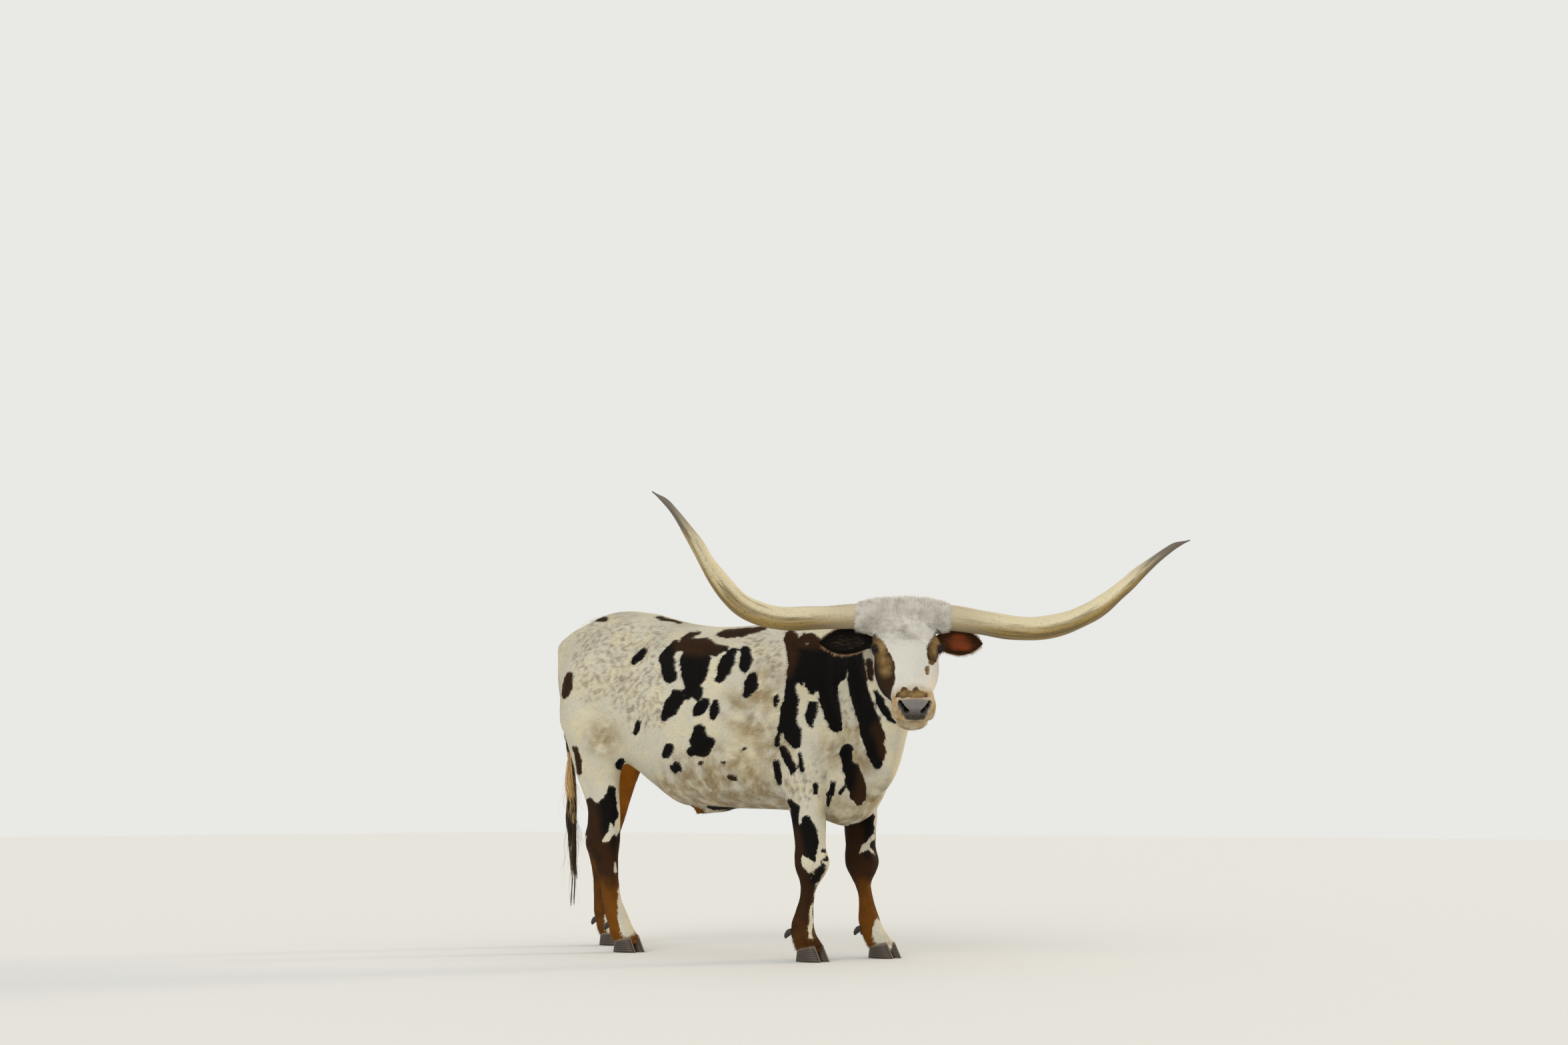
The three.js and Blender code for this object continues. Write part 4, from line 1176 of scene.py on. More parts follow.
BROWN = [
    # belly
    [(1096, 1168, 8), (1101, 1170, 8)], [(1049, 1147, 6), (1084, 1146, 8)], [(1040, 1214, 9),
    (1050, 1221, 9)],
    # saddle
    [(1025, 966, 13.4), (1048, 966, 18.8), (1072, 970, 9.6)],
    # strip on the back
    [(1074, 950, 12.1), (1109, 948, 13.4), (1148, 943, 10.7)],
    # neck and shoulder
    [(1025, 960, 8), (1048, 951, 6.7)],
    # rump and thigh
    [(853, 1014, 16.1), (846, 1046, 16.1)], [(898, 931, 12.1), (908, 930, 8)], [(981, 926, 10.7),
    (1024, 935, 8)], [(845, 1086, 8), (855, 1121, 8)], [(863, 1122, 8.9), (870, 1163, 6.7)],
    # hind leg
    [(885, 1214, 8.9), (887, 1241, 11.2), (891, 1263, 13.4), (909, 1292, 15.6), (914, 1337, 17.9),
    (918, 1388, 17.9)],
    # near foreleg
    [(1192, 1249, 3.6), (1195, 1280, 6.7), (1199, 1308, 8.7), (1208, 1339, 11.1), (1201, 1375, 15.8),
    (1195, 1411, 17.8)],
    # far foreleg
    [(1278, 1249, 13.8), (1276, 1284, 15.8), (1294, 1324, 19.8), (1306, 1387, 21.7)],
    # neck and shoulder
    [(1179, 951, 11.5), (1185, 981, 9.2), (1179, 1009, 6)], [(1199, 960, 11.5), (1226, 958, 13.8)],
    [(1296, 1162, 6), (1295, 1183, 7.3), (1288, 1206, 7.8)], [(1316, 1094, 4.6), (1325, 1117, 6),
    (1328, 1135, 4.6)],
    # behind the head
    [(1305, 994, 7.7), (1306, 1014, 7.7)],
]
FACE_BROWN = [
    # cheeks
    [(1312, 952, 9.2), (1322, 974, 12.3), (1328, 998, 18.5), (1331, 1023, 16.9), (1338, 1045, 7.7)],
    [(1403, 954, 7.7), (1398, 977, 9.2), (1397, 998, 9.2)],
    # over the nose
    [(1352, 1040, 7.5), (1384, 1040, 7.5)],
]
RUSSET = [
    [(1040, 1213, 5), (1048, 1219, 6), (1054, 1222, 4)],
]
SPECKLED = [
    [(935, 944, 16.1), (927, 982, 29.5), (933, 1019, 32.1), (954, 1046, 29.5), (978, 1068, 16.1)],
    [(981, 960, 10.7), (970, 1009, 16.1), (981, 1038, 10.7)], [(887, 950, 13.4), (882, 993, 18.8),
    (887, 1030, 18.8)], [(1136, 968, 13.4), (1158, 993, 13.4)], [(1178, 1176, 6.9), (1206, 1185, 11.5),
    (1229, 1167, 9.2)], [(1265, 1050, 6.9), (1275, 1077, 6.9)],
]
# Strokes of dirt and of painted shade: the belly and the base of the neck are painted darker and browner
# where they lie in shade.
SOILED_AND_SHADED = [
    [(1286, 1100, 12), (1291, 1140, 12)], [(1020, 1160, 14), (1060, 1168, 16), (1100, 1150, 16),
    (1130, 1170, 14)], [(1012, 1186, 14), (1040, 1196, 16), (1080, 1186, 16), (1120, 1190, 16)],
    [(1082, 1142, 12), (1098, 1160, 14)], [(1005, 1177, 13.4), (1026, 1199, 16.1), (1061, 1188, 16.1),
    (1104, 1188, 16.1), (1155, 1193, 16.1)], [(1128, 1204, 13.4), (1174, 1204, 10.7)],
    [(903, 1108, 12.3)], [(1104, 1062, 10.7), (1117, 1078, 10.7), (1158, 1121, 16.1)],
    [(1149, 1019, 10.7), (1141, 1046, 16.1)], [(1249, 1211, 6.9), (1277, 1224, 6.9), (1300, 1220, 6.9)],
    [(1249, 1128, 6.9), (1259, 1105, 6.9)],
]
TAN = [
    # over the nose
    [(1356, 1043, 1.5), (1368, 1042, 2), (1383, 1043, 1.5)],
    # cheeks
    [(1309, 960, 3), (1322, 968, 4), (1322, 982, 3)], [(1322, 986, 2.6), (1327, 997, 4.8),
    (1328, 1007, 4.2)], [(1405, 962, 2.8), (1403, 980, 3.1)], [(1397, 1002, 4), (1394, 1014, 3.1)],
]
NOSE_PAD = [
    [(1352, 1055.5, 4.4), (1372, 1054, 4), (1391, 1055.5, 4.4)], [(1353, 1062, 5.4), (1372, 1061, 6),
    (1390, 1062, 5.4)], [(1358, 1068, 6.4), (1372, 1067, 7), (1386, 1068, 6.4)], [(1362, 1075, 5),
    (1372, 1076, 5), (1383, 1075, 5)],
]
# Invented patches of the left side: x, z and radius in millimetres in the stance frame
LEFT_DARK = [
    [(690, 1180, 80), (640, 1040, 105), (600, 900, 80), (590, 790, 40)], [(560, 1330, 60),
    (600, 1230, 80), (690, 1180, 60)], [(470, 1010, 36), (450, 920, 52), (470, 830, 34)],
    [(330, 1330, 40), (250, 1290, 60), (160, 1270, 60), (90, 1210, 76)], [(90, 1210, 70), (60, 1100, 84),
    (110, 1000, 52), (150, 930, 24)], [(250, 1150, 34), (240, 1060, 42), (270, 990, 22)],
    [(-80, 1170, 28), (-110, 1090, 44), (-90, 1020, 26)], [(-40, 880, 40), (20, 820, 52), (0, 760, 26)],
    [(-240, 930, 24), (-260, 880, 30)], [(290, 830, 24), (300, 780, 28)], [(-420, 1260, 30),
    (-470, 1200, 46), (-450, 1120, 30)], [(-640, 1330, 40), (-700, 1240, 62), (-690, 1140, 46)],
    [(-560, 980, 30), (-590, 920, 36)], [(-140, 1340, 30), (-60, 1350, 34), (20, 1345, 24)],
    [(150, 700, 30), (210, 690, 24)], [(390, 1240, 24), (400, 1190, 28)],
]


@dataclass
class Markings:
    """The pattern of the hide: strokes of a round brush, laid on the skin and measured in space.

    A stroke is a row of discs joined up. Those of the right side are given where the photograph shows
    them, and are laid on the skin along the sight lines; those of the left side are laid on it straight
    from the left.
    """

    skin: Skin
    view: Viewpoint = Viewpoint()

    def __post_init__(self) -> None:
        """Lay every stroke on the skin: those of the face on the head alone, the rest behind it."""
        points = [Vector(p) for p in self.skin.points.tolist()]
        on_head = self.skin.is_head(stance(self.skin.points))[self.skin.quads].all(1)
        face = BVHTree.FromPolygons(points, self.skin.quads[on_head].tolist())
        body = BVHTree.FromPolygons(points, self.skin.quads[~on_head].tolist())
        sets = {
            "dark": (DARK, FACE_DARK), "white": (WHITE, FACE_WHITE), "brown": (BROWN, FACE_BROWN),
            "russet": (RUSSET, []), "speckled": (SPECKLED, []), "soiled": (SOILED_AND_SHADED, []),
            "tan": ([], TAN), "pad": ([], NOSE_PAD),
        }
        self.placed = {
            name: ([self.lay(s, body, 7.0) for s in pair[0]], [self.lay(s, face, 3.0) for s in pair[1]])
            for name, pair in sets.items()
        }
        self.placed["left"] = ([self.lay_left(s, body) for s in LEFT_DARK], [])

    def lay(self, stroke: Sequence[tuple[float, float, float]], tree: BVHTree, lead: float) -> Array:
        """Lay a stroke of the picture on the skin.

        Args:
            stroke: Its discs, in pixels.
            tree: The part of the skin that it lies on.
            lead: How far the roots of its hair lie ahead of what is seen of it, in millimetres.

        Returns:
            Places and radii, in metres.
        """
        rows = np.array(stroke, float)
        eye = Vector(self.view.place)
        ahead = Vector(self.view.axes()[2])
        out = []
        for ray, (_, _, radius) in zip(self.view.rays(rows), rows):
            way = Vector(ray)
            hit, normal, _, _ = tree.ray_cast(eye, way)
            if hit is None:
                places = [eye + way * s for s in np.linspace(7.2, 11.0, 60)]
                hit, normal, _, _ = min((tree.find_nearest(p) for p in places), key=lambda found: found[3])
            lie = Lie().at(np.array([hit]), np.array([normal]))[0]
            size = radius * (hit - eye).dot(ahead) / self.view.focal
            out.append([*(np.array(hit) - lie * lead * MM), size])
        return np.array(out)

    @staticmethod
    def lay_left(stroke: Sequence[tuple[float, float, float]], tree: BVHTree) -> Array:
        """Return a stroke of the left side, as x, z and radius in the stance frame, as places on the skin.

        Args:
            stroke: The stroke's discs.
            tree: The skin to lay it on, as a search tree.

        Returns:
            The discs on the skin.
        """
        out = []
        for x, z, radius in stroke:
            start = Vector(packed([[x, 1500.0, z]])[0])
            hit, _, _, _ = tree.ray_cast(start, Vector((0.0, -1.0, 0.0)))
            if hit is not None:
                out.append([*hit, radius * MM])
        return np.array(out)

    @staticmethod
    def reach(points: Array, placed: Array, sight: Array) -> Array:
        """Return each point's distance past the edge of a laid stroke: negative inside.

        Lengths along the line of sight count for a third, so that a stroke is as wide on a slanting
        surface as it is in the picture.

        Args:
            points: Where the distance is wanted, in packed metres.
            placed: The stroke's discs on the skin, with a middle and a radius each.
            sight: The line of sight.

        Returns:
            One distance for each point, in metres.
        """
        squeeze = np.eye(3) - 0.66 * np.outer(sight, sight)
        points, middle, radius = points @ squeeze, placed[:, :3] @ squeeze, placed[:, 3]
        if len(placed) == 1:
            return np.linalg.norm(points - middle[0], axis=1) - radius[0]
        best = np.full(len(points), 1e3)
        for k in range(len(placed) - 1):
            a, span = middle[k], middle[k + 1] - middle[k]
            t = np.clip((points - a) @ span / max(float(span @ span), 1e-9), 0.0, 1.0)
            far = np.linalg.norm(points - a - t[:, None] * span, axis=1)
            best = np.minimum(best, far - (1.0 - t) * radius[k] - t * radius[k + 1])
        return best

    def edge(self, points: Array, facing: Array, name: str) -> Array:
        """Return the distance past a set's nearest stroke; strokes end where the skin turns from them.

        Args:
            points: Points, one in a row.
            facing: How far the skin faces the viewpoint, from -1 to 1.
            name: Which set of strokes.

        Returns:
            A distance for each point, negative inside.
        """
        on_head = self.skin.is_head(stance(points))
        out = np.full(len(points), 1.0)
        for strokes, where in zip(self.placed[name], (~on_head, on_head)):
            for placed in strokes:
                sight = np.array([0.0, 1.0, 0.0]) if name == "left" else unit(placed[0, :3] - self.view.place)
                out[where] = np.minimum(out[where], self.reach(points[where], placed, sight))
        return out + 0.25 * ease(0, -0.45, facing)

    def fields(self, points: Array, normals: Array) -> dict[str, Array]:
        """Return the pattern at points in packed metres.

        Returns:
            patch: Metres past the edge of a dark patch, negative inside.
            marks: Shares of brown in the dark, of roan flecks, and of dirt together with painted shade on the
                undersides.
            face: Shares of tan in the dark, of the nose pad, and of grey, or of darkness in the nose pad.
            bare: The share of dark wet skin in the nostrils and between the lips, painted near black deep in
                the nostrils and along the crease of the lips as shade.
            muzzle: The share of tan in the light hair round the nose.

        Args:
            points: Points, one in a row.
            normals: The skin's unit normals.
        """
        place = stance(points)
        in_head = to_head(place)
        back = np.array(self.view.place) - points
        seen = (unit(back) * normals).sum(1)
        edge = {name: self.edge(points, seen, name) for name in self.placed if name != "left"}
        edge["left"] = self.edge(points, normals[:, 1], "left")
        off_head = self.skin.away_from_head(place)
        rough = 26.0 * np.sin(place[:, 0] / 23.0 + 2.0 * np.sin(place[:, 1] / 31.0))
        rough = rough + 14.0 * np.sin(place[:, 1] / 12.0)
        leg_top = np.where(place[:, 0] > 200.0, 560.0, np.where(place[:, 1] > 0.0, 800.0, 640.0)) + rough
        unseen = 0.25 * ease(-0.15, 0.15, seen)
        off_side = (place[:, 2] - leg_top) * MM + unseen
        far_hind = (place[:, 2] - 800.0 - rough) * MM
        far_hind = far_hind + 0.3 * (place[:, 0] > -380.0) + 0.3 * (place[:, 1] < 20.0)
        dock = (line_distance(place, np.array(DOCK, float)[3:, :3])[0] - 48.0) * MM
        dark = np.minimum.reduce([edge["dark"], edge["left"], off_side, far_hind, dock])
        white = np.minimum(edge["white"], self.pasterns(place))
        brown = np.maximum.reduce([
            0.75 * self.soft(edge["brown"]), 1.5 * self.soft(edge["russet"], 0.02), self.shanks(place),
            ease(0.05, -0.01, dock),
            0.12 * ease(0.06, 0, edge["left"]),
        ])
        # Painted shade on the undersides: below 760 mm, skin that faces down gets the same darker
        # yellow-brown as the dirt strokes.
        under = ease(760, 640, place[:, 2]) * ease(-0.2, -0.75, normals[:, 2]) * off_head
        muzzle = ease(462, 520, in_head[:, 0] - 0.10 * in_head[:, 2]) * (1.0 - off_head)
        chin = ease(-128, -160, in_head[:, 2])
        on_head = (1.0 - off_head) * ease(-100, -45, in_head @ THROAT)
        grey = on_head * (0.5 * ease(525, 480, in_head[:, 0])
                                  + 0.5 * ease(270, 130, in_head[:, 0]))
        pad = self.soft(edge["pad"], 0.006)
        grey = grey * (1.0 - pad) + pad * ease(-60, -118, in_head[:, 2])
        # Dirt strokes and painted underside shade, taken together.
        soiled = np.maximum(self.soft(edge["soiled"], 0.09), under)
        return {
            "patch": np.maximum(dark, -white),
            "marks": np.stack([brown, self.soft(edge["speckled"], 0.09), soiled], 1),
            "face": np.stack([0.7 * self.soft(edge["tan"], 0.03), pad, grey], 1),
            "bare": self.wet(in_head) * (1.0 - off_head),
            "muzzle": 0.95 * muzzle * (1.0 - 0.35 * chin),
        }

    @staticmethod
    def soft(edge: Array, fade: float = 0.05) -> Array:
        """Return a share that is 1 inside an edge and fades to 0 past it."""
        return ease(fade, -0.3 * fade, edge)

    @staticmethod
    def shanks(place: Array) -> Array:
        """Return the share of brown in the legs, above 1 for russet and above 1.7 for a painted orange glow
        of light: it starts higher on the left.

        Args:
            place: Points of the stance, in millimetres.

        Returns:
            A share for each point.
        """
        z = place[:, 2]
        fore = place[:, 0] > 200.0
        right = np.where(fore, 1.2 * ease(480, 80, z), 1.5 * ease(620, 180, z))
        thigh = ease(940, 840, z) * ease(-330, -430, place[:, 0])
        # Painted light: on the inner side of the left hind leg, above 480 mm, the share rises past 1.7 into
        # the orange glow of light shining through the hair.
        hind = (1.3 + 0.75 * ease(480, 640, z) * ease(215, 150, place[:, 1])) * thigh
        return np.where(place[:, 1] > 0.0, np.where(fore, 1.4 * ease(540, 240, z), hind), right)

    @staticmethod
    def pasterns(place: Array) -> Array:
        """Return the distance past the white fronts of the left feet, as two upright eggs.

        Args:
            place: Points of the stance, in millimetres.

        Returns:
            A distance for each point, negative inside.
        """
        out = np.full(len(place), 1.0)
        for x, y in ((700.0, 180.0), (-760.0, 163.0)):
            far = np.linalg.norm((place - [x, y, 110.0]) / [46.0, 60.0, 110.0], axis=1) - 1.0
            out = np.minimum(out, 0.05 * far)
        return out

    @staticmethod
    def wet(in_head: Array) -> Array:
        """Return how deep in a nostril or between the lips each point lies, from 0 to 1.

        Args:
            in_head: Points in the head's frame, in millimetres.

        Returns:
            A share for each point.
        """
        out = np.zeros(len(in_head))
        for hand in (1.0, -1.0):
            inward = unit(np.array([-0.86, -0.42 * hand, -0.1]))
            across = np.eye(3) - np.outer(inward, inward)
            far, share = line_distance(in_head @ across, np.array(NOSTRIL, float) * [1.0, hand, 1.0] @ across)
            # Painted shade deep in the nostrils, over their dark wet skin.
            deep = ease(12 - 3.5 * share, 8.5 - 3.5 * share, far) * ease(470, 490, in_head[:, 0])
            out = np.maximum(out, deep)
        along, side, depth = in_head.T
        # Painted shade: a dark band along the crease between the lips.
        line = bell(depth - LIP_LINE, 3.2) * ease(440, 470, along)
        return np.maximum(out, 0.9 * line)


@dataclass(frozen=True)
class Lie:
    """Which way the hair lies, everywhere on the skin."""

    def at(self, points: Array, normals: Array) -> Array:
        """Return the lie of the hair along the surface, shorter where it is unsure, at packed points.

        Args:
            points: Points, one in a row.
            normals: The skin's unit normals.

        Returns:
            One vector for each point.
        """
        place = stance(points)
        in_head = to_head(place)
        x, y, z = place.T
        flow = np.tile([-1.0, 0.0, -0.42], (len(place), 1))
        rump = ease(-560, -800, x)[:, None]
        flow = (1 - rump) * flow + rump * np.array([-0.35, 0.0, -1.0])
        leg = (ease(900, 700, z) * ease(-0.9, -0.6, normals[:, 2]))[:, None]
        flow = (1 - leg) * flow + leg * np.array([-0.12, 0.0, -1.0])
        neck = ease(640, 860, x)[:, None]
        flow = (1 - neck) * flow + neck * np.array([-0.72, 0.42, -0.62])
        head = ease(420, 300, np.linalg.norm(in_head - HEAD_MIDDLE, axis=1))[:, None]
        flow = (1 - head) * flow + head * self.on_head(in_head, normals)
        wave = 0.30 * np.sin(x / 61.0 + 1.7 * np.sin(z / 83.0)) + 0.22 * np.sin(z / 37.0 + y / 45.0 + 1.3)
        flow = flow - (flow * normals).sum(1, keepdims=True) * normals
        sure = np.minimum(np.linalg.norm(flow, axis=1, keepdims=True), 1.0)
        flow = unit(flow)
        side = np.cross(normals, flow)
        return sure * unit(np.cos(wave)[:, None] * flow + np.sin(wave)[:, None] * side)

    def on_head(self, in_head: Array, normals: Array) -> Array:
        """Return the lie on the head: out from the whorl of the forehead, then down the face and back.

        Args:
            in_head: Points in the head's frame, in millimetres.
            normals: The skin's unit normals.

        Returns:
            One vector for each point.
        """
        away = in_head - WHORL
        swirl = np.stack([-away[:, 1], away[:, 0], np.zeros(len(away))], 1)
        radial = unit(away) + 0.35 * unit(swirl)
        flank = ease(0.45, 0.85, np.abs(normals @ HEAD[1])) * ease(-8, -55, in_head[:, 2])
        flank = flank[:, None]
        flow = (1 - flank) * radial + flank * np.array([0.35, 0.0, -1.0])
        low = ease(250, 330, in_head[:, 0])[:, None] * (1 - flank)
        flow = (1 - low) * flow + low * np.array([1.0, 0.0, -0.2])
        return flow @ HEAD


def ribbons(paths: Array, across: Array, half: Array) -> tuple[Array, Array, Array]:
    """Return flat tapers that follow paths and end in a point.

    Args:
        paths: Places along each path: paths, places and three coordinates.
        across: The way each taper is wide, as unit vectors, one for each path.
        half: Half widths at every place; the last is not used.

    Returns:
        Points, triangles, and the share of the length at each point.
    """
    count, places = paths.shape[:2]
    wide = across[:, None] * half[:, :-1, None]
    pairs = np.stack([paths[:, :-1] - wide, paths[:, :-1] + wide], 2).reshape(count, -1, 3)
    points = np.concatenate([pairs, paths[:, -1:]], 1)
    step = 2 * places - 1
    k = 2 * np.arange(places - 2)[:, None]
    quads = np.concatenate([k + [0, 1, 3], k + [0, 3, 2]])
    pattern = np.vstack([quads, [[step - 3, step - 2, step - 1]]])
    triangles = (np.arange(count)[:, None, None] * step + pattern).reshape(-1, 3)
    rise = np.append(np.repeat(np.arange(places - 1), 2), places - 1) / (places - 1)
    return points.reshape(-1, 3), triangles, np.tile(rise, count)


def set_field(mesh: bpy.types.Mesh, name: str, values: Array) -> None:
    """Store a value or a vector for each vertex of a mesh.

    Args:
        mesh: The mesh.
        name: The field's name.
        values: One value or vector for each vertex.
    """
    kind, key = ("FLOAT", "value") if values.ndim == 1 else ("FLOAT_VECTOR", "vector")
    layer = mesh.attributes.new(name, kind, "POINT")
    layer.data.foreach_set(key, values.astype(np.float32).ravel())


def set_patches(mesh: bpy.types.Mesh, triangles: Array, flat: Array, rise: Array, step: int) -> None:
    """Give each taper a small patch of the unwrap, at the place where it roots.

    Args:
        mesh: The mesh.
        triangles: Corners of each triangle.
        flat: A place in the chart for each taper.
        rise: Share of the height up the taper, for each point.
        step: How many points each taper has.
    """
    sideways = np.where(np.arange(len(rise)) % step % 2 == 0, -0.0015, 0.0015) * (1.0 - rise)
    uv = np.repeat(flat, step, axis=0) + np.stack([sideways, 0.003 * rise], 1)
    layer = mesh.uv_layers.new(name="OFBake")
    layer.data.foreach_set("uv", uv[triangles.ravel()].astype(np.float32).ravel())


@dataclass(frozen=True)
class Chart:
    """An unwrap of a part of the body round an axis: along it, and by the angle round it."""

    middle: tuple[float, float, float]
    axis: tuple[float, float, float]
    seam: tuple[float, float, float]
    start: float
    end: float

    def at(self, place: Array) -> Array:
        """Return two numbers from 0 to 1 for places in the stance frame.

        Args:
            place: Points of the stance, in millimetres.

        Returns:
            Two chart values for each point.
        """
        axis = unit(np.array(self.axis))
        up = np.array(self.seam) - axis * (axis @ np.array(self.seam))
        up = unit(up)
        side = np.cross(axis, up)
        away = place - np.array(self.middle)
        along = np.clip((away @ axis - self.start) / (self.end - self.start), 0.0, 1.0)
        turn = np.arctan2(away @ side, -(away @ up)) / (2.0 * math.pi) + 0.5
        return 0.02 + 0.96 * np.stack([turn, along], 1)


@dataclass
class Pelt:
    """A surface that hair grows on, in packed metres, with its pattern and the lie of its hair."""

    points: Array
    corners: Array
    normals: Array
    flow: Array
    fields: dict[str, Array]

    def __post_init__(self) -> None:
        """Measure the triangles that hair can root in."""
        a, b, c = self.points[self.corners.T]
        self.area = 0.5 * np.linalg.norm(np.cross(b - a, c - a), axis=1)
        self.middle = stance((a + b + c) / 3.0)

    def spread(self, values: Array, pick: Array, weights: Array) -> Array:
        """Return values of the surface's points, carried to roots inside its triangles."""
        return np.einsum("ij,ij...->i...", weights, values[self.corners[pick]])


@dataclass(frozen=True)
class Tuft:
    """One kind of tuft: a flat taper of hairs. Lengths in millimetres, turns in radians."""

    length: float
    width: float
    lift: float
    per_m2: float
    jitter: float = 0.22
    spread: float = 0.3
    places: int = 3
    most: int = 66000


@dataclass
class Coat:
    """Tufts set over a pelt and lying along it."""

    pelt: Pelt
    material: bpy.types.Material

    def grow(self, name: str, tuft: Tuft, share: Array, chart: Chart, seed: int,
             scale: Callable[[Array], Array] | None = None) -> bpy.types.Object:
        """Grow one piece of the coat.

        Args:
            name: The piece's name.
            tuft: The kind of tuft.
            share: How densely each triangle of the pelt is covered, from 0 to 1.
            chart: The unwrap of this part of the pelt.
            seed: Of the random draws.
            scale: The tuft's size as a share, from its place in the stance frame.

        Returns:
            The piece.
        """
        pelt, random = self.pelt, np.random.default_rng(seed)
        weight = pelt.area * share
        count = int(min(tuft.per_m2 * weight.sum(), tuft.most))
        pick = np.searchsorted(np.cumsum(weight), random.random(count) * weight.sum())
        pick = np.minimum(pick, len(weight) - 1)
        u, v = random.random((2, count))
        u, v = np.where(u + v > 1.0, 1.0 - u, u), np.where(u + v > 1.0, 1.0 - v, v)
        weights = np.stack([1.0 - u - v, u, v], 1)
        root = pelt.spread(pelt.points, pick, weights)
        normal = unit(pelt.spread(pelt.normals, pick, weights))
        ahead = pelt.spread(pelt.flow, pick, weights)
        unsure = ease(0.6, 0.2, np.linalg.norm(ahead, axis=1))
        ahead = unit(ahead)
        place = stance(root)
        turn = (random.normal(0.0, 1.0, count) * (tuft.jitter + 1.1 * unsure))[:, None]
        across = np.cross(normal, ahead)
        ahead = unit(np.cos(turn) * ahead + np.sin(turn) * across)
        across = unit(np.cross(normal, ahead))
        size = random.uniform(1.0 - tuft.spread, 1.0 + tuft.spread, count) * (scale(place) if scale else 1.0)
        past = pelt.spread(pelt.fields["patch"], pick, weights)
        size = size * (1.0 - 0.38 * bell(past, 0.009))
        length = size * tuft.length * MM
        lift = size * tuft.lift * MM * random.uniform(0.5, 1.3, count)
        curl = random.normal(0.0, 0.1, count) * length
        t = np.linspace(0.0, 1.0, tuft.places)[None, :, None]
        paths = root[:, None] + ahead[:, None] * length[:, None, None] * t
        paths = paths + normal[:, None] * (lift[:, None, None] * t**1.3 - 0.6 * MM)
        paths = paths + across[:, None] * curl[:, None, None] * t * t
        taper = (1.0 - t[..., 0]) ** 0.7 * (1.0 + 0.5 * t[..., 0])
        half = 0.5 * tuft.width * MM * np.sqrt(size)[:, None] * taper
        points, triangles, rise = ribbons(paths, across, half)
        piece = Shell(points, [triangles]).piece(name, self.material, "hide")
        step = 2 * tuft.places - 1
        for key, value in pelt.fields.items():
            set_field(piece.data, key, np.repeat(pelt.spread(value, pick, weights), step, axis=0))
        set_field(piece.data, "root", np.repeat(root, step, axis=0))
        tint = np.repeat(random.uniform(-1.0, 1.0, count), step)
        set_field(piece.data, "hair", np.stack([tint, rise, np.ones_like(rise)], 1))
        set_patches(piece.data, triangles, chart.at(place), rise, step)
        return piece


